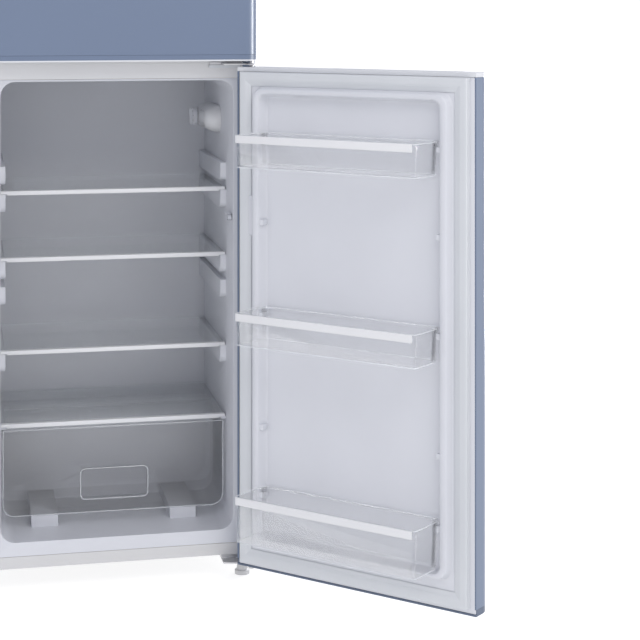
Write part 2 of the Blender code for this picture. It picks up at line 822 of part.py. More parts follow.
def compressor(cabinet):
    at = (COMPRESSOR_X, COMPRESSOR_Y, CABINET_BOTTOM + 0.002 + FIT)
    radius = COMPRESSOR_RADIUS
    height = COMPRESSOR_HEIGHT
    dome = arc((0.0, 0.0), 1.0, 90, 10, 6)
    profile = [(radius * u, height * (0.72 + 0.28 * v)) for u, v in dome]
    profile[0] = (0.0, height)
    profile += [
        (radius, height * 0.70),
        (radius + 0.004, height * 0.62),
        (radius + 0.004, height * 0.58),
        (radius, height * 0.55),
        (radius * 0.92, height * 0.12),
        (radius * 0.70, height * 0.04),
        (radius * 0.70, 0.0),
        (0.0, 0.0),
    ]
    turned(cabinet, "compressor", profile, at, BLACK)
    side = COMPRESSOR_X - radius - 0.004 - FIT
    box = block(
        cabinet,
        "terminal_box",
        (side - 0.030, COMPRESSOR_Y - 0.028, 0.110),
        (side, COMPRESSOR_Y + 0.028, 0.165),
        BLACK,
        radius=0.006,
        along="x",
        steps=3,
    )
    gland = rod(
        cabinet,
        "cord_gland",
        (side - 0.042, COMPRESSOR_Y, 0.124),
        0.014,
        0.006,
        along="x",
        sides=12,
    )
    join(box, gland)


def drip_tray(cabinet):
    low = CABINET_BOTTOM + 0.002 + FIT + COMPRESSOR_HEIGHT + FIT
    depth = 0.100
    tray = block(
        cabinet,
        "drip_tray",
        (COMPRESSOR_X - 0.090, CABINET_DEPTH - 0.006 - depth, low),
        (COMPRESSOR_X + 0.075, CABINET_DEPTH - 0.006, low + 0.032),
        BLACK,
        radius=0.012,
        along="z",
        steps=3,
    )
    inside = block(
        cabinet,
        "cut_drip_tray",
        (COMPRESSOR_X - 0.088, CABINET_DEPTH - 0.004 - depth, low + 0.002),
        (COMPRESSOR_X + 0.073, CABINET_DEPTH - 0.008, low + 0.06),
        radius=0.010,
        along="z",
        steps=3,
    )
    cut(tray, inside)
    spout = (COMPRESSOR_X - 0.060, CABINET_DEPTH - 0.050)
    tube(
        cabinet,
        "drain_tube",
        [(*spout, BAY_TOP - FIT), (*spout, BAY_TOP - 0.020), (*spout, low + 0.018)],
        0.006,
        RUBBER,
    )


def filter_drier(cabinet):
    x, y = COMPRESSOR_X - 0.150, COMPRESSOR_Y + 0.030
    profile = [
        (0.0, 0.100),
        (0.003, 0.099),
        (0.0035, 0.088),
        (0.0095, 0.078),
        (0.0095, 0.022),
        (0.0035, 0.012),
        (0.003, 0.001),
        (0.0, 0.0),
    ]
    turned(cabinet, "filter_drier", profile, (x, y, 0.120), COPPER, sides=16)


def condenser(cabinet):
    """A serpentine tube over two upright rails behind the back panel."""
    y = CABINET_DEPTH + FIT + RAIL_DEPTH + FIT + CONDENSER_TUBE
    points = []
    bend = CONDENSER_PITCH / 2
    reach = CONDENSER_HALF_WIDTH - bend
    for row in range(CONDENSER_ROWS):
        z = CONDENSER_BOTTOM + row * CONDENSER_PITCH
        side = 1 if row % 2 == 0 else -1
        points.append((-side * reach, y, z))
        if row < CONDENSER_ROWS - 1:
            turn = arc((0.0, z + bend), bend, -90, 90, 4)
            points += [(side * (reach + u), y, v) for u, v in turn]
        else:
            points.append((side * reach, y, z))
    tube(cabinet, "condenser_tube", points, CONDENSER_TUBE, BLACK, sides=1)
    top = CONDENSER_BOTTOM + (CONDENSER_ROWS - 1) * CONDENSER_PITCH + 0.020
    bars = [
        (
            (x - RAIL_WIDTH / 2, CABINET_DEPTH + FIT, CONDENSER_BOTTOM - 0.020),
            (x + RAIL_WIDTH / 2, CABINET_DEPTH + FIT + RAIL_DEPTH, top),
        )
        for x in (-RAIL_SPREAD, RAIL_SPREAD)
    ]
    straps = [
        (
            (-RAIL_SPREAD, CABINET_DEPTH + FIT, z),
            (RAIL_SPREAD, CABINET_DEPTH + FIT + 0.0015, z + RAIL_WIDTH),
        )
        for z in (CONDENSER_BOTTOM - 0.010, top - 0.024)
    ]
    frame = blocks(cabinet, "condenser_frame", bars, BLACK)
    join(frame, blocks(cabinet, "condenser_straps", straps))


# ---------------------------------------------------------------- inside the compartments


def slide_holder(cabinet, name, top):
    return pivot(name + "_slide", (0.0, SHELF_FRONT, top), cabinet)


def glass_shelf(cabinet, name, top):
    """A glass sheet and the moulded trim along its front edge, sliding on the ledges."""
    holder = slide_holder(cabinet, name, top)
    half = FRIDGE_HALF_WIDTH - SHELF_SIDE_GAP
    block(
        holder,
        name + "_glass",
        (-half, SHELF_FRONT + 0.003, top - GLASS),
        (half, FRIDGE_DEPTH - SHELF_BACK_GAP, top),
        GLASS_SHEET,
    )
    trim = block(
        holder,
        name + "_trim",
        (-half, SHELF_FRONT, top + TRIM_OVER - TRIM_HEIGHT),
        (half, SHELF_FRONT + TRIM_DEPTH, top + TRIM_OVER),
        WHITE,
    )
    slot = block(
        holder,
        f"cut_{name}_trim",
        (-half - 0.01, SHELF_FRONT + 0.003 - FIT, top - GLASS - FIT),
        (half + 0.01, SHELF_FRONT + TRIM_DEPTH + 0.01, top + FIT),
    )
    ends = []
    for side in (-1, 1):
        edges = sorted((side * (half - LEDGE_PROUD - 0.0005), side * (half + 0.002)))
        low = (edges[0], SHELF_FRONT - 0.01, top - GLASS - 0.01)
        ends.append((low, (edges[1], SHELF_FRONT + 0.03, top - GLASS - FIT)))
    cut(trim, slot, blocks(holder, f"cut_{name}_ends", ends))


def crisper(cabinet):
    holder = pivot("crisper_slide", (0.0, CRISPER_FRONT, CRISPER_BOTTOM), cabinet)
    half = CRISPER_HALF_WIDTH
    top = COVER_TOP - GLASS - FIT - COVER_LEDGE - CRISPER_CLEARANCE
    back = STEP_FRONT - 0.006

    def low_edge(middle):
        return middle.z < CRISPER_BOTTOM + 0.01

    drawer = block(
        holder,
        "crisper_drawer",
        (-half, CRISPER_FRONT, CRISPER_BOTTOM),
        (half, back, top),
        CLEAR,
        radius=CRISPER_RADIUS,
        keep=low_edge,
    )
    wall = CRISPER_WALL
    inside = block(
        holder,
        "cut_crisper",
        (-half + wall, CRISPER_FRONT + wall, CRISPER_BOTTOM + wall),
        (half - wall, back - wall, top + 0.02),
        radius=CRISPER_RADIUS - wall,
        keep=low_edge,
    )
    cut(drawer, inside)
    pull_box = block(
        holder,
        "crisper_pull",
        (-PULL_HALF_WIDTH, CRISPER_FRONT + wall / 2, PULL_BOTTOM),
        (PULL_HALF_WIDTH, CRISPER_FRONT + PULL_DEPTH, PULL_TOP),
        radius=PULL_RADIUS,
        steps=3,
    )
    pocket = block(
        holder,
        "cut_pull",
        (-PULL_HALF_WIDTH + wall, CRISPER_FRONT - 0.01, PULL_BOTTOM + wall),
        (PULL_HALF_WIDTH - wall, CRISPER_FRONT + PULL_DEPTH - wall, PULL_TOP - wall),
        radius=PULL_RADIUS - wall,
        steps=3,
    )
    join(drawer, pull_box)
    cut(drawer, pocket)


def freezer_shelf(cabinet):
    """A moulded plastic shelf with slots, fixed on the ledges of the freezer's liner."""
    front = FREEZER_SHELF_FRONT
    back = FREEZER_DEPTH - 0.005
    half = FREEZER_HALF_WIDTH - 0.003
    top = FREEZER_SHELF_TOP
    shelf = block(
        cabinet,
        "freezer_shelf",
        (-half, front, top - FREEZER_SHELF_THICKNESS),
        (half, back, top),
        WHITE,
    )
    margin = 0.025
    bar = 0.008
    pitch = (2 * half - 2 * margin) / FREEZER_SHELF_SLOTS
    boxes = []
    for slot in range(FREEZER_SHELF_SLOTS):
        left = -half + margin + slot * pitch + bar / 2
        low = (left, front + 0.030, top - 0.02)
        boxes.append((low, (left + pitch - bar, back - 0.030, top + 0.02)))
    cut(shelf, blocks(cabinet, "cut_freezer_shelf", boxes))


def lamp_block(cabinet, name, x, y, margin, radius, steps, mat=None):
    """A box in the lamp housing's plane: between two X, between two Y and a margin inside its height."""
    return block(
        cabinet,
        name,
        (x[0], y[0], LAMP_BOTTOM + margin),
        (x[1], y[1], LAMP_TOP - margin),
        mat,
        radius=radius,
        along="x",
        steps=steps,
    )


def lamp_housing(cabinet):
    """The moulded housing on the right wall with a window, its clear cover and the bulb."""
    wall = FRIDGE_HALF_WIDTH
    face = wall - LAMP_PROUD
    shell = LAMP_WALL
    window = (LAMP_FRONT + 0.018, LAMP_FRONT + 0.078)
    housing = lamp_block(
        cabinet,
        "lamp_housing",
        (face, wall - FIT),
        (LAMP_FRONT, LAMP_BACK),
        0.0,
        LAMP_RADIUS,
        6,
        WHITE,
    )
    inside = lamp_block(
        cabinet,
        "cut_lamp_housing",
        (face + shell, wall + 0.01),
        (LAMP_FRONT + shell, LAMP_BACK - shell),
        shell,
        LAMP_RADIUS - shell,
        6,
    )
    opening = lamp_block(
        cabinet, "cut_lamp_window", (face - 0.01, face + 0.01), window, WINDOW_MARGIN, WINDOW_RADIUS, 3
    )
    bore_at = (face - 0.01, KNOB_Y, KNOB_Z)
    bore = rod(cabinet, "cut_knob_bore", bore_at, 0.03, STUD_RADIUS + PIN_CLEARANCE, along="x")
    cut(housing, inside, opening, bore)
    lamp_block(
        cabinet,
        "lamp_cover",
        (face + 0.0002, face + 0.0018),
        (window[0] + FIT, window[1] - FIT),
        WINDOW_MARGIN + FIT,
        WINDOW_RADIUS,
        3,
        CLEAR,
    )
    profile = [
        (0.0, 0.030),
        (0.0045, 0.0285),
        (0.0072, 0.022),
        (0.0070, 0.014),
        (0.0045, 0.006),
        (0.0045, 0.0),
        (0.0, 0.0),
    ]
    at = (wall - 0.016, window[0] + 0.045, KNOB_Z)
    bulb = turned(cabinet, "lamp_bulb", profile, at, BULB, sides=16)
    bulb.rotation_euler.x = math.pi / 2


def thermostat(cabinet):
    """The round dial with a grip bar, turning on a stem through the housing's face."""
    face = FRIDGE_HALF_WIDTH - LAMP_PROUD
    holder = pivot("thermostat_axis", (face, KNOB_Y, KNOB_Z), cabinet)
    disc_at = (face - FIT - KNOB_PROUD, KNOB_Y, KNOB_Z)
    knob = rod(holder, "thermostat_knob", disc_at, KNOB_PROUD, KNOB_RADIUS, WHITE, "x")
    stem_at = (face - 0.004, KNOB_Y, KNOB_Z)
    stem = rod(holder, "knob_stem", stem_at, 0.014, STUD_RADIUS, along="x", sides=12)
    half_width = 0.0025
    half_height = KNOB_RADIUS - 0.002
    grip = block(
        holder,
        "knob_grip",
        (face - KNOB_PROUD - 0.005, KNOB_Y - half_width, KNOB_Z - half_height),
        (face - 0.004, KNOB_Y + half_width, KNOB_Z + half_height),
    )
    join(knob, stem, grip)


def light_switch(cabinet):
    """A sprung plunger at the mouth of the compartment, and the socket that it slides in."""
    wall = FRIDGE_HALF_WIDTH
    low = SWITCH_HEIGHT - 0.0048
    high = SWITCH_HEIGHT + 0.0048
    socket = block(
        cabinet,
        "switch_socket",
        (wall - 0.011, SWITCH_FRONT + 0.007, low - 0.002),
        (wall - FIT, SWITCH_FRONT + 0.034, high + 0.002),
        WHITE,
    )
    hole = block(
        cabinet,
        "cut_switch_socket",
        (wall - 0.0095, SWITCH_FRONT, low),
        (wall - 0.0015, SWITCH_FRONT + 0.032, high),
    )
    cut(socket, hole)
    holder = pivot("switch_slide", (wall - 0.0055, SWITCH_FRONT, SWITCH_HEIGHT), cabinet)
    block(
        holder,
        "light_switch",
        (wall - 0.0095 + FIT, SWITCH_FRONT, low + FIT),
        (wall - 0.0015 - FIT, SWITCH_FRONT + 0.020, high - FIT),
        WHITE,
    )


# ---------------------------------------------------------------- doors


def door_outline(inset):
    """A door seen from above, with both front corners rounded, drawn in by the inset."""
    left = -HALF_WIDTH + inset
    right = HALF_WIDTH - inset
    front = DOOR_FRONT + inset
    radius = DOOR_CORNER - inset
    points = [(left, DOOR_INNER)]
    points += arc((left + radius, front + radius), radius, 180, 270)
    points += arc((right - radius, front + radius), radius, 270, 360)
    points.append((right, DOOR_INNER))
    return points


def door_skin(door, name, low, high):
    """The steel wrapper: front and both sides in one sheet, hemmed at the inner edges."""
    outline = door_outline(0.0)
    path = [(outline[0][0] + DOOR_HEM, DOOR_INNER), *outline, (outline[-1][0] - DOOR_HEM, DOOR_INNER)]
    plate(door, name, ribbon(path, SHEET), low + FIT, high - FIT, BLUE)


def pin_bore(door, name, low, high):
    radius = PIN_RADIUS + PIN_CLEARANCE
    return rod(door, name, (AXIS.x, AXIS.y, low - 0.005), high - low + 0.010, radius)


def grip_cutter(door, name, low, high):
    """The finger recess along the front edge of a cap, on the side away from the hinge."""
    left = -HALF_WIDTH + DOOR_CORNER + 0.020
    return block(
        door,
        name,
        (left, DOOR_FRONT + GRIP_SETBACK, low),
        (left + GRIP_LENGTH, DOOR_FRONT + GRIP_SETBACK + GRIP_DEPTH, high),
        radius=0.006,
        along="z",
        steps=3,
    )


def door_cap(door, name, low, high, mat):
    cap = plate(door, name, door_outline(0.0002), low, high, mat)
    cut(cap, pin_bore(door, f"cut_{name}_pin", low, high))
    return cap


def ring_block(door, name, outer, inner, shrink, back, front):
    """A rectangular ring between two rounded boxes, each given as (left, low, right, high)."""
    made = block(
        door,
        name,
        (outer[0] + shrink, back, outer[1] + shrink),
        (outer[2] - shrink, front, outer[3] - shrink),
        radius=DIKE_OUTER_RADIUS - shrink,
    )
    hole = block(
        door,
        name + "_hole",
        (inner[0] - shrink, back - 0.01, inner[1] - shrink),
        (inner[2] + shrink, front + 0.01, inner[3] + shrink),
        radius=DIKE_INNER_RADIUS + shrink,
    )
    cut(made, hole)
    return made


def door_liner(door, name, low, high, outer, inner):
    """The moulded inner panel: a flat border, and a raised ring that the foam fills from behind."""
    half = HALF_WIDTH - DOOR_HEM - FIT
    panel = block(door, name, (-half, DOOR_INNER - LINER, low), (half, DOOR_INNER, high), WHITE)
    top = DOOR_INNER + DIKE_HEIGHT
    join(panel, ring_block(door, name + "_ring", outer, inner, 0.0, DOOR_INNER - LINER / 2, top))
    channel = f"cut_{name}_channel"
    cut(panel, ring_block(door, channel, outer, inner, LINER, DOOR_INNER - 0.01, top - LINER))
    return panel


def door_foam(door, name, low, high, outer, inner, bores):
    foam = plate(door, name, door_outline(SHEET + FIT), low, high, FOAM)
    back = DOOR_INNER - LINER - FIT
    wide = HALF_WIDTH + 0.01
    trim = block(door, f"cut_{name}_back", (-wide, back, low - 0.01), (wide, 0.05, high + 0.01))
    shrink = LINER + FIT
    top = DOOR_INNER + DIKE_HEIGHT - shrink
    ring = ring_block(door, name + "_ring", outer, inner, shrink, back - 0.005, top)
    cut(foam, trim)
    join(foam, ring)
    cut(foam, *bores)


def gasket(door, name, low, high):
    left = -HALF_WIDTH + GASKET_INSET
    right = HALF_WIDTH - GASKET_INSET
    seal = block(door, name, (left, DOOR_INNER + FIT, low), (right, -FIT, high), SEAL)
    hole = block(
        door,
        f"cut_{name}",
        (left + GASKET_WIDTH, DOOR_INNER - 0.01, low + GASKET_WIDTH),
        (right - GASKET_WIDTH, 0.01, high - GASKET_WIDTH),
    )
    core = block(
        door,
        f"cut_{name}_core",
        (left + 0.004, DOOR_INNER, low + 0.004),
        (right - 0.004, 0.0, high - 0.004),
    )
    groove = block(
        door,
        f"cut_{name}_groove",
        (left - 0.01, DOOR_INNER + 0.0045, low - 0.01),
        (right + 0.01, DOOR_INNER + 0.0070, high + 0.01),
    )
    cut(groove, core)
    cut(seal, hole, groove)


def lugs(holder, name, inner, top):
    """The two lugs at a bin's rear upper corners that rest on the liner's bosses."""
    low_y = DOOR_INNER + BIN_BACK + 0.001
    boxes = []
    for edge, side in ((inner[0], 1), (inner[2], -1)):
        ends = sorted((edge + side * LUG_GAP, edge + side * (BIN_TAPER_GAP + 0.001)))
        low = (ends[0], low_y, top - LUG_HEIGHT)
        boxes.append((low, (ends[1], low_y + LUG_DEPTH, top - 0.0005)))
    return blocks(holder, name + "_lugs", boxes)


def open_box(holder, name, low, high, mat, radius=0.0):
    """A thin-walled box open at the top, with its two front corners rounded."""
    wall = BIN_WALL

    def front_edge(middle):
        return middle.y > (low[1] + high[1]) / 2

    def rounded(label, start, end, size, mat=None):
        return block(
            holder, label, start, end, mat, radius=size, along="z", keep=front_edge, steps=4
        )

    body = rounded(name, low, high, radius, mat)
    inside = rounded(
        f"cut_{name}",
        (low[0] + wall, low[1] + wall, low[2] + wall),
        (high[0] - wall, high[1] - wall, high[2] + 0.02),
        max(radius - wall, 0.0),
    )
    return body, inside


def door_bin(door, name, top, height, inner):
    """A clear bin that hangs by two lugs on the bosses of the door liner, with a bar along its front.

    Its back fits between the sides of the raised ring, and from a shoulder on it is wider than that.
    """
    back = DOOR_INNER + BIN_BACK
    front = DOOR_INNER + BIN_FRONT
    left = inner[0] + BIN_TAPER_GAP
    right = inner[2] - BIN_TAPER_GAP
    holder = pivot(name + "_lift", (0.0, back, top), door)
    shoulder = DOOR_INNER + BIN_SHOULDER
    low = top - height
    wide = (left - BIN_OVERHANG, right + BIN_OVERHANG)
    body, inside = open_box(
        holder, name, (wide[0], shoulder, low), (wide[1], front, top), CLEAR, BIN_RADIUS
    )
    rear = block(holder, name + "_rear", (left, back, low), (right, front - BIN_RADIUS, top))
    rear_inside = block(
        holder,
        f"cut_{name}_rear",
        (left + BIN_WALL, back + BIN_WALL, low + BIN_WALL),
        (right - BIN_WALL, front - BIN_RADIUS, top + 0.02),
    )
    join(body, rear, lugs(holder, name, inner, top))
    cut(body, inside, rear_inside)
    block(
        holder,
        name + "_bar",
        (wide[0] + BIN_BAR_INSET, front + FIT, top - BIN_BAR_HEIGHT),
        (wide[1] - BIN_BAR_INSET, front + FIT + BIN_BAR_THICKNESS, top),
        WHITE,
        radius=0.0012,
        along="x",
        steps=2,
    )


def freezer_rack(door, inner):
    """The white rack on the freezer door, hung like the bins."""
    top = RACK_TOP
    back = DOOR_INNER + BIN_BACK
    holder = pivot("freezer_rack_lift", (0.0, back, top), door)
    low = (inner[0] + BIN_TAPER_GAP, back, top - RACK_HEIGHT)
    high = (inner[2] - BIN_TAPER_GAP, back + RACK_DEPTH, top)
    rack, inside = open_box(holder, "freezer_door_rack", low, high, WHITE)
    join(rack, lugs(holder, "freezer_door_rack", inner, top))
    cut(rack, inside)


def boss_boxes(inner, tops):
    """The bosses on the inner sides of the raised ring, one pair under each bin's lugs."""
    boxes = []
    for top in tops:
        high = top - LUG_HEIGHT - FIT
        for edge, side in ((inner[0], 1), (inner[2], -1)):
            ends = sorted((edge - side * LINER / 2, edge + side * (BIN_TAPER_GAP - BOSS_GAP)))
            low = (ends[0], DOOR_INNER + BIN_BACK + 0.002, high - BOSS_HEIGHT)
            boxes.append((low, (ends[1], low[1] + BOSS_DEPTH, high)))
    return boxes


def ring_boxes(half, low, high):
    """The raised ring of a door liner, outside and inside, as (left, low, right, high)."""
    outer = (-half, low, half, high)
    inner = (-half + DIKE_WIDTH, low + DIKE_SILL, half - DIKE_WIDTH, high - DIKE_FRAME)
    return outer, inner


def fridge_door(cabinet):
    door = pivot("fridge_door_axis", AXIS, cabinet)
    low, high = FRIDGE_DOOR_BOTTOM, FRIDGE_DOOR_TOP
    half = FRIDGE_HALF_WIDTH - DIKE_CLEARANCE
    outer, inner = ring_boxes(half, FRIDGE_FLOOR + DIKE_CLEARANCE, FRIDGE_CEILING - 0.009)
    door_skin(door, "fridge_door_skin", low + CAP_BOTTOM, high - CAP_TOP)
    top_cap = door_cap(door, "fridge_door_top_cap", high - CAP_TOP, high, CAP_GREY)
    cut(top_cap, grip_cutter(door, "cut_fridge_grip", high - GRIP_RISE, high + 0.01))
    bottom_cap = door_cap(door, "fridge_door_bottom_cap", low, low + CAP_BOTTOM, CAP_BLUE)
    wide = HALF_WIDTH + 0.01
    notch = block(
        door,
        "cut_fridge_cap_notch",
        (-wide, DOOR_INNER - LINER - FIT, low + 0.0038),
        (wide, 0.05, low + 0.05),
    )
    cut(bottom_cap, notch)
    panel = door_liner(
        door, "fridge_door_liner", low + 0.0038 + FIT, high - CAP_TOP - FIT, outer, inner
    )
    tops = [top for top, _ in DOOR_BINS.values()]
    join(panel, blocks(door, "fridge_door_bosses", boss_boxes(inner, [*tops, *SPARE_BOSSES])))
    bores = [
        pin_bore(door, "cut_foam_top_pin", high - 0.024, high),
        pin_bore(door, "cut_foam_bottom_pin", low, low + 0.020),
    ]
    door_foam(
        door,
        "fridge_door_foam",
        low + CAP_BOTTOM + FIT,
        high - CAP_TOP - FIT,
        outer,
        inner,
        bores,
    )
    gasket(door, "fridge_door_gasket", low + 0.012, high - CAP_TOP - 0.0005)
    for label, (top, height) in DOOR_BINS.items():
        door_bin(door, f"door_bin_{label}", top, height, inner)
    door.rotation_euler.z = math.radians(OPEN_ANGLE)


def freezer_door(cabinet):
    door = pivot("freezer_door_axis", AXIS, cabinet)
    low, high = FREEZER_DOOR_BOTTOM, FREEZER_DOOR_TOP
    half = FREEZER_HALF_WIDTH - DIKE_CLEARANCE
    outer, inner = ring_boxes(half, FREEZER_FLOOR + DIKE_CLEARANCE, FREEZER_CEILING - DIKE_CLEARANCE)
    door_skin(door, "freezer_door_skin", low + CAP_BOTTOM, high - CAP_TOP)
    door_cap(door, "freezer_door_top_cap", high - CAP_TOP, high, CAP_GREY)
    bottom_cap = door_cap(door, "freezer_door_bottom_cap", low, low + CAP_BOTTOM, CAP_GREY)
    cut(bottom_cap, grip_cutter(door, "cut_freezer_grip", low - 0.01, low + GRIP_RISE))
    panel = door_liner(
        door, "freezer_door_liner", low + CAP_BOTTOM + FIT, high - CAP_TOP - FIT, outer, inner
    )
    join(panel, blocks(door, "freezer_door_bosses", boss_boxes(inner, [RACK_TOP])))
    bores = [
        pin_bore(door, "cut_freezer_foam_top", high - 0.024, high),
        pin_bore(door, "cut_freezer_foam_bottom", low, low + 0.024),
    ]
    door_foam(
        door,
        "freezer_door_foam",
        low + CAP_BOTTOM + FIT,
        high - CAP_TOP - FIT,
        outer,
        inner,
        bores,
    )
    gasket(door, "freezer_door_gasket", low + CAP_BOTTOM + 0.0005, high - CAP_TOP - 0.0005)
    freezer_rack(door, inner)


# ---------------------------------------------------------------- assembly


def centre_on_floor(root):
    """Moves the root so that the whole model, as it stands, is centred over the origin on the floor."""
    bpy.context.view_layer.update()
    graph = bpy.context.evaluated_depsgraph_get()
    low, high = Vector((9, 9, 9)), Vector((-9, -9, -9))
    for obj in PARTS.objects:
        if obj.type != "MESH":
            continue
        shown = obj.evaluated_get(graph)
        for vertex in shown.to_mesh().vertices:
            point = shown.matrix_world @ vertex.co
            low = Vector(map(min, low, point))
            high = Vector(map(max, high, point))
        shown.to_mesh_clear()
    root.location = -Vector(((low.x + high.x) / 2, (low.y + high.y) / 2, low.z))


def main():
    cabinet = pivot("refrigerator_root", (0.0, 0.0, 0.0))
    build_cabinet(cabinet)
    middle_hinge(cabinet)
    top_hinge(cabinet)
    bottom_hinge(cabinet)
    front_foot(cabinet, "left_front_foot", -FOOT_X)
    front_foot(cabinet, "right_front_foot", FOOT_X)
    compressor(cabinet)
    drip_tray(cabinet)
    filter_drier(cabinet)
    condenser(cabinet)
    for label, top in SHELF_TOPS.items():
        glass_shelf(cabinet, f"shelf_{label}", top)
    glass_shelf(cabinet, "crisper_cover", COVER_TOP)
    crisper(cabinet)
    freezer_shelf(cabinet)
    lamp_housing(cabinet)
    thermostat(cabinet)
    light_switch(cabinet)
    fridge_door(cabinet)
    freezer_door(cabinet)
    centre_on_floor(cabinet)


main()
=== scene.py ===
"""The looks of a top freezer refrigerator, laid over its CAD frame.

Lengths are metres. Shapes are worked out in cabinet coordinates: the plane of the cabinet's front flange
is Y = 0, the cabinet's middle is X = 0 and the floor is Z = 0, with each door shut. A piece is then moved
to the frame's own origin, and a piece on the fridge door is turned about the hinge to the door's angle.
"""

import json
import math

import bmesh
import bpy
import numpy as np
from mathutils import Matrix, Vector

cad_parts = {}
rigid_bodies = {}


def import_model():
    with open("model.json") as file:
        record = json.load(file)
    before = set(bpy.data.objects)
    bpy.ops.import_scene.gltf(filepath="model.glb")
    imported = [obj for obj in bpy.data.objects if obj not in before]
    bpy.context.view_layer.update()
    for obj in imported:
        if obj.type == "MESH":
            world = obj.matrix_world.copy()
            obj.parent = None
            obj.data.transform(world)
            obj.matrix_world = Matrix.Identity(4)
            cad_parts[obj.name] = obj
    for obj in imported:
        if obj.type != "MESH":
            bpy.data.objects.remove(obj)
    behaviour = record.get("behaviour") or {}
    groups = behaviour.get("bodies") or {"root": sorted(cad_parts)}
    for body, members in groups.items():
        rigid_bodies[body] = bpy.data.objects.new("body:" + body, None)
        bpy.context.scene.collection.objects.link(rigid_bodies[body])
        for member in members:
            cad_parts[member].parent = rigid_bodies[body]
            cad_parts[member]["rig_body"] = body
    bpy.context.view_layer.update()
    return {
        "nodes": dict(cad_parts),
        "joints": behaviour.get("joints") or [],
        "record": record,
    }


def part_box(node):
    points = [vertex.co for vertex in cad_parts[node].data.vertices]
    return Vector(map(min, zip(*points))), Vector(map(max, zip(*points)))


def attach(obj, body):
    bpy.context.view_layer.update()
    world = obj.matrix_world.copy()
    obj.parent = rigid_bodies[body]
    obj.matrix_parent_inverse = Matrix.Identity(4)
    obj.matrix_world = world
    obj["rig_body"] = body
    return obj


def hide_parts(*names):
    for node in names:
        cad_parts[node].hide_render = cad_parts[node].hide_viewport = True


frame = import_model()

bl_info = {
    "name": "Top Freezer Refrigerator Looks",
    "version": (1, 0, 0),
    "blender": (4, 5, 0),
    "location": "View3D > Sidebar > Refrigerator",
    "description": "Dresses the refrigerator's CAD frame with shaped pieces, finishes and a studio",
    "category": "Object",
}

RECORD = frame["record"]
JOINTS = {joint["name"]: joint for joint in frame["joints"]}

# Driving places, read from the frame
LEFT_LOW, LEFT_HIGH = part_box("left_side_panel")
RIGHT_LOW, RIGHT_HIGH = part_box("right_side_panel")
ORIGIN = np.array([(LEFT_LOW.x + RIGHT_HIGH.x) / 2, LEFT_LOW.y, 0.0])
HINGE = np.array([*JOINTS["fridge_door_hinge"]["pos_m"][:2], 0.0])
OPEN = -math.radians(JOINTS["fridge_door_hinge"]["range_deg"][0])


def turned(points, angle):
    """Points turned about the upright line through the hinge, by the usual sine and cosine rule."""
    cos, sin = math.cos(angle), math.sin(angle)
    flat = points - HINGE
    x = cos * flat[..., 0] - sin * flat[..., 1]
    y = sin * flat[..., 0] + cos * flat[..., 1]
    return np.stack([x, y, flat[..., 2]], -1) + HINGE


def shut_box(node):
    """The lowest and highest corners of a CAD node in cabinet coordinates, with the doors shut."""
    mesh = frame["nodes"][node].data
    points = np.empty(len(mesh.vertices) * 3)
    mesh.vertices.foreach_get("co", points)
    points = points.reshape(-1, 3)
    if frame["nodes"][node]["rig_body"] in ON_FRIDGE_DOOR:
        points = turned(points, -OPEN)
    points = points - ORIGIN
    return points.min(0), points.max(0)


ON_FRIDGE_DOOR = {"fridge_door", "door_bin_top", "door_bin_middle", "door_bin_bottom"}
LEAST_RADIUS = 0.0008


# ---------------------------------------------------------------- surfaces


def rounded(left, low, right, high, radii, steps=8):
    """A closed loop round a rectangle, anticlockwise from the low left corner.

    Each corner is a quarter circle of its own radius: centre plus radius times (cos, sin) of an angle that
    goes through ninety degrees. Radii are given for the corners in order, or once for all four.
    """
    radii = np.broadcast_to(np.asarray(radii, float), 4)[:, None]
    turn = np.linspace(0.0, math.pi / 2, steps + 1)[None, :]
    start = np.array([math.pi, 1.5 * math.pi, 0.0, 0.5 * math.pi])[:, None]
    corner = np.array([[left, low], [right, low], [right, high], [left, high]], float)
    inward = np.array([[1, 1], [-1, 1], [-1, -1], [1, -1]], float)
    centre = corner + inward * radii
    u = centre[:, :1] + radii * np.cos(start + turn)
    v = centre[:, 1:] + radii * np.sin(start + turn)
    return np.stack([u.ravel(), v.ravel()], -1)


def bent(corners, radii, steps=6):
    """A closed outline with rounded corners.

    Each corner becomes a quadratic curve: corner + radius * ((1 - t)^2 * back + t^2 * ahead), where back and
    ahead are the unit directions to the corner before and the corner after, and t goes from 0 to 1.
    """
    corners = np.asarray(corners, float)
    radii = np.broadcast_to(np.asarray(radii, float), len(corners))[:, None, None]
    back = np.roll(corners, 1, 0) - corners
    ahead = np.roll(corners, -1, 0) - corners
    back = (back / np.linalg.norm(back, axis=1, keepdims=True))[:, None]
    ahead = (ahead / np.linalg.norm(ahead, axis=1, keepdims=True))[:, None]
    t = np.linspace(0.0, 1.0, steps + 1)[None, :, None]
    points = corners[:, None] + radii * ((1 - t) ** 2 * back + t**2 * ahead)
    return points.reshape(-1, 2)


def frame_rings(box, section, radius, steps=12):
    """Rounded rectangles round a box (left, low, right, high), one for each (inset, place along Y)."""
    left, low, right, high = box
    rings = []
    for inset, at in section:
        sides = (left + inset, low + inset, right - inset, high - inset)
        rings.append((rounded(*sides, max(radius - inset, LEAST_RADIUS), steps), at))
    return shells(rings, "y")


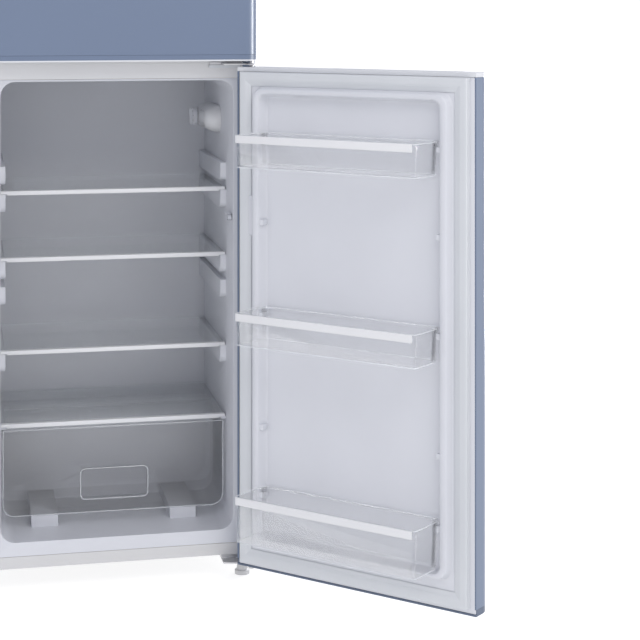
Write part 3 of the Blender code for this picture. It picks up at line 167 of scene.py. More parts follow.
def soft_block(low, high, axis, radius, edge, steps=5):
    """A box rounded at its four edges along an axis by a radius, and at its two ends by a smaller edge."""
    across = {"x": (1, 2), "y": (0, 2), "z": (0, 1)}[axis]
    along = "xyz".index(axis)
    (left, base), (right, top) = (tuple(corner[i] for i in across) for corner in (low, high))
    turn = np.linspace(0.0, math.pi / 2, steps)
    inset = edge * (1 - np.sin(turn))
    rise = edge * (1 - np.cos(turn))
    ends = [(i, low[along] + r) for i, r in zip(inset, rise)]
    ends += [(i, high[along] - r) for i, r in zip(inset[::-1], rise[::-1])]
    rings = [
        (rounded(left + i, base + i, right - i, top - i, max(radius - i, LEAST_RADIUS), steps), at)
        for i, at in ends
    ]
    return shells(rings, axis)


def shells(rings, axis):
    """Stacks flat loops (rings, points, 2) with their heights into points in space.

    The heights run along one axis, and the loop's own two coordinates fill the other two in order.
    """
    loops = np.stack([ring for ring, _ in rings])
    height = np.array([at for _, at in rings])[:, None] * np.ones(loops.shape[1])
    parts = {
        "x": [height, loops[..., 0], loops[..., 1]],
        "y": [loops[..., 0], height, loops[..., 1]],
        "z": [loops[..., 0], loops[..., 1], height],
    }
    return np.stack(parts[axis], -1)


def sweep(path, side, up, section):
    """Carries a section along a path: point = path + side * a + up * b, for each (a, b) of the section."""
    path, side, up = (np.asarray(values, float)[:, None, :] for values in (path, side, up))
    a, b = (np.asarray(section, float)[None, :, index, None] for index in (0, 1))
    return path + side * a + up * b


def grid_faces(rows, columns, wrap_rows=False, wrap_columns=True):
    """Four-sided faces between neighbouring rows and columns of a grid of points."""
    row = np.arange(rows if wrap_rows else rows - 1)[:, None]
    column = np.arange(columns if wrap_columns else columns - 1)[None, :]
    below, beside = (row + 1) % rows, (column + 1) % columns
    here, under = row * columns, below * columns
    corners = [here + column, here + beside, under + beside, under + column]
    return np.stack([np.broadcast_to(c, (len(row), column.shape[1])) for c in corners], -1).reshape(-1, 4)


def mesh_of(name, grids, wrap_rows=False, smooth=35.0):
    """One mesh from one or more grids of points, each closed round its columns and at both end rows."""
    points, faces, first = [], [], 0
    for grid in grids:
        rows, columns = grid.shape[:2]
        points.append(grid.reshape(-1, 3))
        faces += (grid_faces(rows, columns, wrap_rows) + first).tolist()
        if not wrap_rows:
            faces.append((np.arange(columns) + first)[::-1].tolist())
            faces.append((np.arange(columns) + first + (rows - 1) * columns).tolist())
        first += rows * columns
    mesh = bpy.data.meshes.new(name)
    mesh.from_pydata(np.concatenate(points), [], faces)
    built = bmesh.new()
    built.from_mesh(mesh)
    bmesh.ops.remove_doubles(built, verts=built.verts, dist=1e-7)
    bmesh.ops.recalc_face_normals(built, faces=built.faces)
    built.to_mesh(mesh)
    built.free()
    mesh.shade_smooth()
    mesh.set_sharp_from_angle(angle=math.radians(smooth))
    return mesh


def piece(name, grids, slot, body="cabinet", replaces=(), finish=None, **build):
    """Makes an object from grids in cabinet coordinates, puts it in its row place and ties it to its body."""
    placed = []
    for grid in grids:
        moved = grid + ORIGIN
        placed.append(turned(moved, OPEN) if body in ON_FRIDGE_DOOR else moved)
    obj = bpy.data.objects.new(name, mesh_of(name, placed, **build))
    bpy.context.scene.collection.objects.link(obj)
    obj.data.materials.append(FINISHES[finish or slot])
    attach(obj, body)
    if replaces:
        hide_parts(*replaces)
    return obj


def softened(node, slot, width, finish=None, segments=2, angle=38.0):
    """A copy of a CAD node with its facets merged and its edges rounded by a Bevel, standing for the node."""
    source = frame["nodes"][node]
    mesh = source.data.copy()
    mesh.name = node + "_soft"
    built = bmesh.new()
    built.from_mesh(mesh)
    bmesh.ops.remove_doubles(built, verts=built.verts, dist=2e-5)
    bmesh.ops.dissolve_limit(built, angle_limit=math.radians(0.8), verts=built.verts, edges=built.edges)
    built.to_mesh(mesh)
    built.free()
    mesh.shade_smooth()
    mesh.set_sharp_from_angle(angle=math.radians(angle))
    obj = bpy.data.objects.new(mesh.name, mesh)
    bpy.context.scene.collection.objects.link(obj)
    mesh.materials.clear()
    mesh.materials.append(FINISHES[finish or slot])
    bevel = obj.modifiers.new("soft_edges", "BEVEL")
    bevel.width = width
    bevel.segments = segments
    bevel.limit_method = "ANGLE"
    bevel.angle_limit = math.radians(angle)
    bevel.harden_normals = True
    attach(obj, source["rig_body"])
    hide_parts(node)
    return obj


# ---------------------------------------------------------------- finishes


class Wire:
    """A shader socket that takes part in sums: each operator adds its Math node."""

    def __init__(self, finish, socket):
        """Keeps the socket with the finish that it belongs to."""
        self.finish = finish
        self.socket = socket

    def sum(self, operation, *values):
        """Adds the Math node of an operation."""
        settings = {"operation": operation}
        return self.finish.node("ShaderNodeMath", settings, dict(enumerate(values)))

    def __add__(self, other):
        return self.sum("ADD", self, other)

    def __sub__(self, other):
        return self.sum("SUBTRACT", self, other)

    def __rsub__(self, other):
        return self.sum("SUBTRACT", other, self)

    def __mul__(self, other):
        return self.sum("MULTIPLY", self, other)

    __radd__ = __add__
    __rmul__ = __mul__

    def clamped(self, low, high):
        """The value's place between low and high, held to 0 to 1."""
        values = {"Value": self, "From Min": low, "From Max": high}
        return self.finish.node("ShaderNodeMapRange", {"interpolation_type": "SMOOTHSTEP"}, values)


class Finish:
    """A material under construction. Its shader's own sockets hold what is the same all over."""

    def __init__(self, name, **fixed):
        self.material = bpy.data.materials.new(name + "_finish")
        self.material.use_nodes = True
        self.tree = self.material.node_tree
        self.shader = self.tree.nodes["Principled BSDF"]
        for label, value in fixed.items():
            self.shader.inputs[label.replace("_", " ")].default_value = value
        self.place = self.node("ShaderNodeTexCoord", output="Object")

    def node(self, kind, settings=None, values=None, output=0):
        """Adds a node: its settings first, then values or wires into its sockets. Returns one output."""
        made = self.tree.nodes.new(kind)
        for label, value in (settings or {}).items():
            if label == "stops":
                for element, (at, colour) in zip(made.color_ramp.elements, value):
                    element.position = at
                    element.color = colour
            else:
                setattr(made, label, value)
        for label, value in (values or {}).items():
            socket = self.socket_of(made.inputs, label)
            if isinstance(value, Wire):
                self.tree.links.new(value.socket, socket)
            else:
                socket.default_value = value
        return Wire(self, self.socket_of(made.outputs, output))

    @staticmethod
    def socket_of(sockets, label):
        """A socket by its place, its identifier or its name."""
        if isinstance(label, int):
            return sockets[label]
        by_identifier = [socket for socket in sockets if socket.identifier == label]
        return by_identifier[0] if by_identifier else sockets[label]

    def noise(self, scale, detail=2.0, stretch=(1, 1, 1), roughness=0.5):
        """Cloudy noise, from 0 to 1, at so many blotches a metre, with each axis stretched."""
        stretched = {"Vector": self.place, "Scale": stretch}
        where = self.node("ShaderNodeMapping", {"vector_type": "TEXTURE"}, stretched)
        values = {"Vector": where, "Scale": scale, "Detail": detail, "Roughness": roughness}
        return self.node("ShaderNodeTexNoise", {}, values)

    def mix(self, factor, first, second):
        """A colour between two colours."""
        values = {"Factor_Float": factor, "A_Color": first, "B_Color": second}
        return self.node("ShaderNodeMix", {"data_type": "RGBA"}, values, "Result_Color")

    def axis(self, letter):
        """One coordinate of the place, in metres."""
        return self.node("ShaderNodeSeparateXYZ", {}, {"Vector": self.place}, letter.upper())

    def bump(self, height, distance, strength=1.0):
        """Raises the surface by a height from 0 to 1 times a distance."""
        values = {"Height": height, "Distance": distance, "Strength": strength}
        self.drive(Normal=self.node("ShaderNodeBump", {}, values))

    def drive(self, **wires):
        """Wires values into the shader's sockets."""
        for label, wire in wires.items():
            self.tree.links.new(wire.socket, self.shader.inputs[label.replace("_", " ")])


def opaque(colour, share=1.0):
    """A colour times a share, with full alpha."""
    return (*(channel * share for channel in colour), 1.0)


def mottled(name, colour, roughness, grain=900.0, depth=0.00003, **fixed):
    """A finish whose colour and roughness drift over broad patches, with a fine grain in its surface."""
    swing = 0.04
    rough_swing = 0.06
    finish = Finish(name, **fixed)
    drift = finish.noise(7.0, 3.0)
    fine = finish.noise(grain, 2.0)
    tone = finish.mix(drift, opaque(colour, 1 - swing), opaque(colour, 1 + swing))
    uneven = (drift - 0.5) * rough_swing + (fine - 0.5) * rough_swing
    finish.drive(Base_Color=tone, Roughness=uneven + roughness)
    finish.bump(fine, depth)
    return finish.material


def painted(name, colour, roughness=0.34):
    """Satin paint on steel: an orange-peel skin, a slow drift in colour and light rubbing near the floor."""
    finish = Finish(name, Specular_IOR_Level=0.5, Coat_Weight=0.25, Coat_Roughness=0.18)
    drift = finish.noise(2.5, 3.0)
    peel = finish.noise(420.0, 1.5)
    fleck = finish.noise(2600.0, 1.0)
    rub = finish.noise(38.0, 5.0, stretch=(1, 1, 0.35)).clamped(0.62, 0.74)
    low_down = 1 - finish.axis("z").clamped(0.03, 0.20)
    tone = finish.mix(drift, opaque(colour, 0.965), opaque(colour, 1.035))
    tone = finish.mix((fleck - 0.5) * 0.35 + 0.15, tone, opaque(colour, 1.22))
    tone = finish.mix(rub * low_down * 0.35, tone, opaque((0.45, 0.46, 0.48)))
    finish.drive(Base_Color=tone, Roughness=(drift - 0.5) * 0.05 + rub * low_down * 0.2 + roughness)
    finish.bump(peel * 0.8 + fleck * 0.2, 0.000035)
    return finish.material


def highlight_lipped(name, colour, lip, edge):
    """Satin plastic in the door's colour with a painted highlight below a height: a pale band in the trim
    colour stands for the thin highlight line along the cap's lower edge.
    """
    finish = Finish(name)
    drift = finish.noise(6.0, 3.0)
    fine = finish.noise(700.0, 2.0)
    # painted highlight: below this height the colour turns to the pale trim colour, standing for the
    # highlight line along the cap's lower edge
    above = finish.axis("z").clamped(edge - 0.0003, edge + 0.0003)
    tone = finish.mix(drift, opaque(colour, 0.95), opaque(colour, 1.05))
    finish.drive(Base_Color=finish.mix(above, opaque(lip), tone), Roughness=(fine - 0.5) * 0.1 + 0.38)
    finish.bump(fine, 0.00003)
    return finish.material


def clear(name, colour, roughness, alpha, ior=1.5, smudge=0.05, ripple=0.00001):
    """A clear moulding or glass: part of the light goes straight through, the rest is bent, with smudges."""
    finish = Finish(name, Transmission_Weight=1.0, IOR=ior, Alpha=alpha)
    drift = finish.noise(9.0, 4.0)
    fine = finish.noise(160.0, 2.0)
    tone = finish.mix(drift, opaque(colour, 0.985), opaque(colour))
    finish.drive(Base_Color=tone, Roughness=drift.clamped(0.52, 0.75) * smudge + roughness)
    finish.bump(fine, ripple)
    return finish.material


def brushed(name, colour, roughness=0.35):
    """Zinc-plated sheet with rolled streaks and a spangled tone."""
    finish = Finish(name, Metallic=1.0)
    streak = finish.noise(60.0, 4.0, stretch=(12, 1, 1))
    spangle = finish.noise(75.0, 2.0)
    tone = finish.mix(spangle, opaque(colour, 0.82), opaque(colour, 1.08))
    finish.drive(Base_Color=tone, Roughness=(streak - 0.5) * 0.25 + roughness)
    finish.bump(streak, 0.00002)
    return finish.material


def foamed(name, colour):
    """Rigid foam: open cells over a cloudy tone."""
    finish = Finish(name)
    cell = finish.node("ShaderNodeTexVoronoi", {}, {"Vector": finish.place, "Scale": 420.0}, "Distance")
    drift = finish.noise(12.0, 4.0)
    tone = finish.mix(drift, opaque(colour, 0.86), opaque(colour))
    finish.drive(Base_Color=tone, Roughness=drift * 0.1 + 0.85)
    finish.bump(cell, 0.0006)
    return finish.material


# ---------------------------------------------------------------- settings


def metres(name, description, default):
    """A length in metres that the sidebar shows."""
    return bpy.props.FloatProperty(
        name=name, description=description, default=default, unit="LENGTH", min=0.0
    )


SPARE = (0.745, 0.345)
FINISHES = {}
SLOT_OF = {part["node"]: part["material_slot"] for part in RECORD["subparts"]}
TRIMS = [f"{shelf}_trim" for shelf in ("shelf_top", "shelf_middle", "shelf_bottom", "crisper_cover")]
CAPS = [f"{door}_door_{end}_cap" for door in ("fridge", "freezer") for end in ("top", "bottom")]
SOFT_EDGES = {
    0.0003: ["top_panel", "left_side_panel", "right_side_panel"],
    0.0004: ["middle_hinge", "top_hinge", "bottom_hinge"],
    0.0005: ["crossbar"],
    0.0008: [
        "bottom_rail",
        "light_switch",
        "crisper_drawer",
        "freezer_shelf",
        "freezer_door_rack",
        "middle_hinge_cover",
        *TRIMS,
    ],
    0.0010: ["switch_socket", "drip_tray", *CAPS],
    0.0015: ["terminal_box"],
    0.0016: ["fridge_liner", "freezer_liner"],
    0.0020: ["top_hinge_cover"],
}
OWN_FINISH = {
    # the freezer door's bottom cap takes a finish with a painted highlight, a pale band along its lower edge
    "freezer_door_bottom_cap": "cap_lipped",
    # the crossbar takes a brighter copy of the rail grey: painted light that offsets the shade it sits in
    # under the freezer door
    "crossbar": "crossbar_grey",
    **dict.fromkeys(TRIMS, "bar_white"),
}
FILL_GAP = 0.004


def pair(name, description, default):
    """Two lengths in metres that the sidebar shows."""
    return bpy.props.FloatVectorProperty(
        name=name, description=description, default=default, size=2, unit="LENGTH"
    )


def tint(name, description, default):
    """A colour that the sidebar shows."""
    return bpy.props.FloatVectorProperty(
        name=name, description=description, default=default, subtype="COLOR"
    )


class CabinetSettings(bpy.types.PropertyGroup):
    """Colours and sizes of the cabinet's pieces"""

    paint: tint("Paint", "Colour of the doors and the cabinet's sides", (0.138, 0.182, 0.272))
    lining: tint("Lining", "Colour of the moulded linings", (0.625, 0.638, 0.678))
    rail: tint("Rail", "Colour of the bars across the cabinet's front", (0.60, 0.60, 0.605))
    crisper_radius: metres("Crisper radius", "Radius of the crisper's lower corners", 0.024)
    pull: bpy.props.FloatVectorProperty(
        name="Pull",
        description="The crisper pull's left, lower, right and upper edges",
        size=4,
        unit="LENGTH",
        default=(-0.068, 0.150, 0.068, 0.212),
    )
    wires: bpy.props.IntProperty(
        name="Wires", description="Upright wires on each side of the condenser", default=26, min=2
    )
    wire_radius: metres("Wire radius", "Radius of a condenser wire", 0.0007)
    dome_inset: metres("Dome inset", "How much smaller the lamp dome is at its crown", 0.020)
    # height of the painted highlight, a pale band along the lower edge of the freezer door's bottom cap
    highlight_lip_height: metres("Cap lip", "Height of the pale lip under the freezer door", 0.0030)
    trim: tint("Trim", "Colour of the moulded door ends", (0.66, 0.675, 0.70))


class StageSettings(bpy.types.PropertyGroup):
    """The studio: camera, light and floor"""

    camera: bpy.props.FloatVectorProperty(
        name="Camera",
        description="The camera's place in cabinet coordinates",
        subtype="TRANSLATION",
        unit="LENGTH",
        default=(-0.308, -3.524, 1.155),
    )
    turn: bpy.props.FloatProperty(
        name="Turn",
        description="How far the level camera looks to the right of straight ahead",
        subtype="ANGLE",
        default=math.radians(12.637),
    )
    lens: bpy.props.FloatProperty(
        name="Lens", description="Focal length in millimetres", default=99.5, min=10.0
    )
    shift: bpy.props.FloatVectorProperty(
        name="Shift",
        description="The view's sideways and upward shift, in frame widths",
        size=2,
        default=(-0.0562, -0.4938),
    )
    sky: tint("Sky", "Colour of the light from all round", (0.90, 0.912, 1.0))
    daylight: bpy.props.FloatProperty(
        name="Daylight", description="Strength of the light from all round", default=0.78, min=0.0
    )
    backdrop: bpy.props.FloatProperty(
        name="Backdrop", description="Brightness of the white backdrop itself", default=1.06, min=0.0
    )
    edge: bpy.props.FloatProperty(
        name="Edge", description="Power of the lamp behind on the right", unit="POWER", default=110.0, min=0.0
    )
    floor_glow: bpy.props.FloatProperty(
        name="Floor glow", description="How much light the white floor gives off", default=0.72, min=0.0
    )
    key: bpy.props.FloatProperty(
        name="Key", description="Power of the large soft lamp", unit="POWER", default=45.0, min=0.0
    )


class DoorSettings(bpy.types.PropertyGroup):
    """Sizes of the doors' pieces"""

    lining_wall: metres("Lining wall", "Thickness of a door's lining", 0.0015)
    border_radius: metres("Border radius", "Corner radius of a lining's border", 0.002)
    ridge_half: pair(
        "Ridge half widths",
        "Half the width over the ridge, on the fridge door and on the freezer door",
        (0.2260, 0.2113),
    )
    ridge_low: pair(
        "Ridge feet",
        "Height of the ridge's lower side, on the fridge door and on the freezer door",
        (0.1039, 1.0787),
    )
    ridge_high: pair(
        "Ridge tops",
        "Height of the ridge's upper side, on the fridge door and on the freezer door",
        (0.9932, 1.3913),
    )
    ridge_width: metres("Ridge width", "Width of the ridge at the sides", 0.024)
    ridge_sill: metres("Ridge sill", "Width of the ridge at the bottom", 0.012)
    ridge_frame: metres("Ridge frame", "Width of the ridge at the top", 0.017)
    ridge_radius: metres("Ridge radius", "Corner radius of the ridge's outer foot", 0.026)
    step_rise: metres("Step rise", "How far the border is raised beside the ridge", 0.0065)
    hem_cover: metres("Hem cover", "How far the lining laps over the door sheet's hem", 0.0031)
    ridge_inner_slope: metres("Inner slope", "Width of the ridge's slope to the panel", 0.011)
    ridge_outer_slope: metres("Outer slope", "Width of the ridge's slope to the border", 0.009)
    spare_bosses: pair("Spare bosses", "Bin heights that have bosses and no bin", SPARE)
    boss_height: metres("Boss height", "Height of a boss under a bin's lug", 0.012)
    boss_rise: metres("Boss rise", "How far a boss stands out of the panel", 0.0165)
    boss_reach: metres("Boss reach", "How far a boss reaches in from the ridge", 0.0048)
    lug_height: metres("Lug height", "Height of a bin's lug", 0.010)
    lug_depth: metres("Lug depth", "Depth of a bin's lug", 0.014)
    lug_reach: metres("Lug reach", "How far a lug stands out of the bin's rear side", 0.0050)
    pad_height: metres("Pad height", "Height of the middle of the switch pad", 0.740)
    pad_length: metres("Pad length", "Length of the switch pad", 0.080)
    pad_reach: metres("Pad reach", "How far the pad reaches out from the ridge", 0.0125)
    pad_rise: metres("Pad rise", "How far the pad stands out of the border", 0.0105)
    seal_width: metres("Seal width", "Width of a door's gasket", 0.020)
    seal_flap: pair(
        "Seal flap",
        "Width of the gasket's inner flap, on the fridge door and on the freezer door",
        (0.0078, 0.0045),
    )
    hem: metres("Hem", "Width of the sheet's turned edge", 0.0030)
    skin_radius: metres("Skin radius", "Radius of a door's front corners", 0.028)
    skin_thickness: metres("Skin thickness", "Thickness of a door's sheet", 0.0008)
    bin_wall: metres("Bin wall", "Thickness of a door bin's wall", 0.0020)
    bin_draft: metres("Bin draft", "How much narrower a bin is at its base", 0.0026)
    bin_radius: metres("Bin radius", "Radius of a bin's front corners", 0.010)
    bin_shoulder: metres("Bin shoulder", "Depth of a bin's narrower rear part", 0.0185)
    bin_overhang: metres("Bin overhang", "How much wider a bin is in front of its shoulder", 0.0085)


GROUPS = {
    "fridge_cabinet": CabinetSettings,
    "fridge_door": DoorSettings,
    "fridge_stage": StageSettings,
}


# ---------------------------------------------------------------- operators


def finishes(settings):
    """Every finish of the refrigerator by its slot in the record."""
    # top of the painted highlight band on the freezer door's bottom cap
    highlight_top = shut_box("freezer_door_bottom_cap")[0][2] + settings.highlight_lip_height
    return {
        "blue_paint": painted("blue_paint", settings.paint),
        "white_plastic": mottled("white_plastic", settings.lining, 0.36),
        "warm_grey": mottled("warm_grey", settings.rail, 0.42),
        "cap_grey": mottled("cap_grey", settings.trim, 0.40),
        "cap_lipped": highlight_lipped("cap_lipped", settings.paint, settings.trim, highlight_top),
        "cap_blue": mottled("cap_blue", [c * 0.7 for c in settings.paint], 0.45),
        "gasket": mottled("gasket", (0.60, 0.62, 0.645), 0.55, grain=500.0),
        "foam": foamed("foam", (0.80, 0.70, 0.46)),
        "zinc_steel": brushed("zinc_steel", (0.60, 0.60, 0.61)),
        "black_steel": mottled("black_steel", (0.018, 0.018, 0.020), 0.42, grain=600.0),
        "black_plastic": mottled("black_plastic", (0.028, 0.028, 0.030), 0.6, grain=700.0, depth=0.00006),
        "clear_plastic": clear("clear_plastic", (0.97, 0.98, 0.99), 0.03, 0.17),
        # painted highlight: a paler, less clear plastic for beads that stand for the bright edge lines of the
        # clear mouldings
        "clear_edge": mottled("clear_edge", (0.86, 0.88, 0.91), 0.12, Alpha=0.55, Coat_Weight=0.6),
        # painted light: the rail grey made 1.2 times brighter, to offset the shade the crossbar sits in under
        # the freezer door
        "crossbar_grey": mottled("crossbar_grey", [c * 1.2 for c in settings.rail], 0.42),
        "shelf_glass": clear("shelf_glass", (0.92, 0.96, 0.95), 0.01, 0.42),
        "bulb": mottled("bulb", (0.93, 0.91, 0.85), 0.12),
        "bar_white": mottled("bar_white", (0.72, 0.725, 0.74), 0.30),
        "copper": mottled("copper", (0.72, 0.36, 0.22), 0.30, Metallic=1.0),
    }


class FRIDGE_OT_finish(bpy.types.Operator):
    """Gives every CAD node its finish"""

    bl_idname = "fridge.finish"
    bl_label = "Finish the frame"

    def execute(self, context):
        FINISHES.update(finishes(context.scene.fridge_cabinet))
        for node, obj in frame["nodes"].items():
            obj.data.materials.clear()
            obj.data.materials.append(FINISHES[SLOT_OF[node]])
        return {"FINISHED"}


def s_curve(start, end, low, high, steps=9):
    """Pairs (inset, height) along a soft step: height follows half a cosine between two insets."""
    share = np.linspace(0.0, 1.0, steps)
    inset = start + (end - start) * share
    height = low + (high - low) * (1 - np.cos(math.pi * share)) / 2
    return list(zip(inset, height))


def liner_grids(node, outer, widths, seal, settings):
    """A moulded door lining: flat border, soft raised ridge and flat panel, closed at its back.

    The section runs from the middle of the panel outwards: the ridge rises and falls on half cosines, and the
    back follows it one wall behind. Every ring is a rounded rectangle.
    """
    low, high = shut_box(node)
    wall = settings.lining_wall
    face = low[1] + wall
    top = high[1]
    ridge = settings.ridge_width
    inner_foot = ridge + settings.ridge_inner_slope * 0.4
    inner_top = ridge - settings.ridge_inner_slope * 0.6
    outer_top = settings.ridge_outer_slope * 0.75
    outer_foot = -settings.ridge_outer_slope * 0.25
    front = [(inner_foot + 0.020, face), (inner_foot + 0.004, face)]
    front += s_curve(inner_foot, inner_top, face, top - 0.0005)
    front += [((inner_top + outer_top) / 2, top)]
    step = face + settings.step_rise
    front += s_curve(outer_top, outer_foot, top - 0.0005, step)
    back = [(inset, at - wall) for inset, at in front[::-1]]
    rings = [(ridge_ring(outer, widths, inset, settings), at) for inset, at in front]
    inner_seal = rounded(*inward(seal, settings.seal_width + 0.0008), 0.003, 12)
    step_foot = [(inner_seal, step), (inner_seal, face)]
    rings += step_foot
    border = (low[0] - settings.hem_cover, low[2], high[0], high[2])
    edge = 0.0012
    rings.append((rounded(*inward(border, edge), settings.border_radius, 12), face))
    rings.append((rounded(*border, settings.border_radius, 12), face - edge))
    rings.append((rounded(*border, settings.border_radius, 12), low[1]))
    rings += [(inner_seal, low[1]), (inner_seal, step - wall)]
    rings += [(ridge_ring(outer, widths, inset, settings), at) for inset, at in back]
    return [shells(rings, "y")]


def inward(box, inset):
    """A rectangle (left, low, right, high) made smaller by an inset on each side."""
    left, low, right, high = box
    return left + inset, low + inset, right - inset, high - inset


def ridge_ring(outer, widths, inset, settings):
    """One ring of the ridge. Its sill and frame are narrower than its sides, in proportion to the inset."""
    left, low, right, high = outer
    share = inset / settings.ridge_width
    side, sill, top = widths
    radius = max(settings.ridge_radius - max(inset, 0.0) * 0.5, 0.004)
    extra = max(share - 1.0, 0.0) * settings.ridge_width
    share = min(share, 1.0)
    return rounded(
        left + side * share + extra,
        low + sill * share + extra,
        right - side * share - extra,
        high - top * share - extra,
        radius,
        12,
    )


class FRIDGE_OT_door_linings(bpy.types.Operator):
    """Moulds both door linings: ridges, bin bosses and the raised pad that works the light switch"""

    bl_idname = "fridge.door_linings"
    bl_label = "Mould the door linings"

    def execute(self, context):
        settings = context.scene.fridge_door
        for index, door in enumerate(("fridge", "freezer")):
            node = f"{door}_door_liner"
            low, high = shut_box(node)
            half = settings.ridge_half[index]
            outer = (-half, settings.ridge_low[index], half, settings.ridge_high[index])
            widths = (settings.ridge_width, settings.ridge_sill, settings.ridge_frame)
            seal_low, seal_high = shut_box(f"{door}_door_gasket")
            seal = (seal_low[0], seal_low[2], seal_high[0], seal_high[2])
            grids = liner_grids(node, outer, widths, seal, settings)
            face = low[1] + settings.lining_wall
            bins = [f"door_bin_{label}" for label in ("top", "middle", "bottom")]
            tops = [shut_box(name)[1][2] for name in (bins if door == "fridge" else ["freezer_door_rack"])]
            if door == "fridge":
                tops += list(settings.spare_bosses)
            for top in tops:
                grids += bosses(outer, face, top, settings)
            if door == "fridge":
                grids.append(switch_pad(outer, face, settings))
            piece(f"{door}_door_lining", grids, "white_plastic", f"{door}_door", [node], smooth=50.0)
            low, high = shut_box(f"{door}_door_foam")
            fill_low = (low[0] + FILL_GAP, low[1], low[2])
            fill_high = (high[0] - FILL_GAP, face - 2 * settings.lining_wall, high[2])
            fill = soft_block(fill_low, fill_high, "z", settings.skin_radius - 0.002, 0.0004)
            piece(f"{door}_door_fill", [fill], "foam", f"{door}_door", [f"{door}_door_foam"])
        return {"FINISHED"}


def bosses(outer, face, top, settings):
    """Two rounded bosses that stand out of the ridge's inner slopes under a bin's lugs."""
    high = top - settings.lug_height - 0.0004
    made = []
    for side in (-1, 1):
        wall = side * (outer[2] - settings.ridge_width)
        ends = sorted((wall + side * 0.009, wall - side * settings.boss_reach))
        low_corner = (ends[0], face - 0.0005, high - settings.boss_height)
        high_corner = (ends[1], face + settings.boss_rise, high)
        made.append(soft_block(low_corner, high_corner, "x", 0.0022, 0.0012))
    return made


def switch_pad(outer, face, settings):
    """A low pad with round ends, outside the ridge at the height of the light switch."""
    middle = settings.pad_height
    half = settings.pad_length / 2
    right = outer[2]
    low = (right - 0.004, face - 0.0005, middle - half)
    high = (right + settings.pad_reach, face + settings.pad_rise, middle + half)
    return soft_block(low, high, "y", (high[0] - low[0]) * 0.48, 0.0025, 8)


class FRIDGE_OT_gaskets(bpy.types.Operator):
    """Lays the magnetic seal round each door: a soft tube on two bellows"""

    bl_idname = "fridge.gaskets"
    bl_label = "Lay the gaskets"

    def execute(self, context):
        settings = context.scene.fridge_door
        for door in ("fridge", "freezer"):
            node = f"{door}_door_gasket"
            low, high = shut_box(node)
            wide = settings.seal_width
            flap = settings.seal_flap[door == "freezer"] / wide
            deep = high[1] - low[1]
            corners = np.array(
                [
                    (0.0, 0.02),
                    (0.0, 0.16),
                    (0.14, 0.30),
                    (0.06, 0.44),
                    (0.16, 0.58),
                    (0.04, 0.72),
                    (0.05, 0.94),
                    (0.26, 1.0),
                    (0.70, 1.0),
                    (0.93, 0.90),
                    (0.98, 0.84),
                    (1.0 + flap * 0.5, 0.74),
                    (1.0 + flap, 0.66),
                    (1.0 + flap, 0.60),
                    (1.0, 0.58),
                    (1.0, 0.02),
                ]
            )
            section = bent(corners * (wide, deep), 0.0006, 3)
            pairs = [(inset, low[1] + rise) for inset, rise in section]
            grid = frame_rings((low[0], low[2], high[0], high[2]), pairs, 0.0022, 4)
            piece(f"{door}_door_seal", [grid], "gasket", f"{door}_door", [node], wrap_rows=True, smooth=50.0)
        return {"FINISHED"}


def door_path(low, high, settings, steps=24):
    """The line of a door's sheet seen from above, with its outward directions.

    It runs from one hem round both front corners, as quarter circles, to the other hem.
    """
    left, right = low[0], high[0]
    front, back = low[1], high[1]
    radius = settings.skin_radius
    turn = np.linspace(math.pi, 1.5 * math.pi, steps + 1)
    first = np.stack([left + radius + radius * np.cos(turn), front + radius + radius * np.sin(turn)], -1)
    second = np.stack([left + right - first[:, 0], first[:, 1]], -1)[::-1]
    side = np.linspace(back, front + radius, 6)[:-1]
    lead = np.stack([np.full_like(side, left), side], -1)
    tail = np.stack([np.full_like(side, right), side], -1)[::-1]
    middle = np.linspace(left + radius, right - radius, 12)[1:-1]
    level = np.stack([middle, np.full_like(middle, front)], -1)
    path = np.concatenate([lead, first, level, second, tail])
    along = np.gradient(path, axis=0)
    along /= np.linalg.norm(along, axis=1, keepdims=True)
    out = np.stack([along[:, 1], -along[:, 0]], -1)
    return path, out


class FRIDGE_OT_door_skins(bpy.types.Operator):
    """Wraps each door in one steel sheet with smooth round front corners"""

    bl_idname = "fridge.door_skins"
    bl_label = "Wrap the doors"

    def execute(self, context):
        settings = context.scene.fridge_door
        thick = settings.skin_thickness
        for door in ("fridge", "freezer"):
            node = f"{door}_door_skin"
            low, high = shut_box(node)
            path, out = door_path(low, high, settings)
            bead = 0.0002
            section = [
                (-thick, low[2]),
                (-bead, low[2]),
                (0.0, low[2] + bead),
                (0.0, high[2] - bead),
                (-bead, high[2]),
                (-thick, high[2]),
            ]
            flat = np.concatenate([path, np.zeros((len(path), 1))], -1)
            side = np.concatenate([out, np.zeros((len(out), 1))], -1)
            up = np.broadcast_to([0.0, 0.0, 1.0], side.shape)
            sheet = [sweep(flat, side, up, section)]
            for x in (low[0] + thick, high[0] - thick - settings.hem):
                hem_low = (x, high[1] - thick, low[2])
                hem_high = (x + settings.hem, high[1], high[2])
                sheet.append(soft_block(hem_low, hem_high, "z", thick / 2, bead))
            piece(f"{door}_door_sheet", sheet, "blue_paint", f"{door}_door", [node])
        return {"FINISHED"}


def bin_outline(low, high, inset, settings):
    """A bin seen from above: narrow between the ridges, then wider, with round front corners."""
    wide = high[0] - inset
    narrow = high[0] - settings.bin_overhang - inset
    back, front = low[1] + inset, high[1] - inset
    shoulder = low[1] + settings.bin_shoulder + inset
    corners = [
        (-narrow, back),
        (narrow, back),
        (narrow, shoulder),
        (wide, shoulder),
        (wide, front),
        (-wide, front),
        (-wide, shoulder),
        (-narrow, shoulder),
    ]
    round_front = settings.bin_radius - inset
    return bent(corners, [0.004, 0.004, 0.003, 0.004, round_front, round_front, 0.004, 0.003], 8)


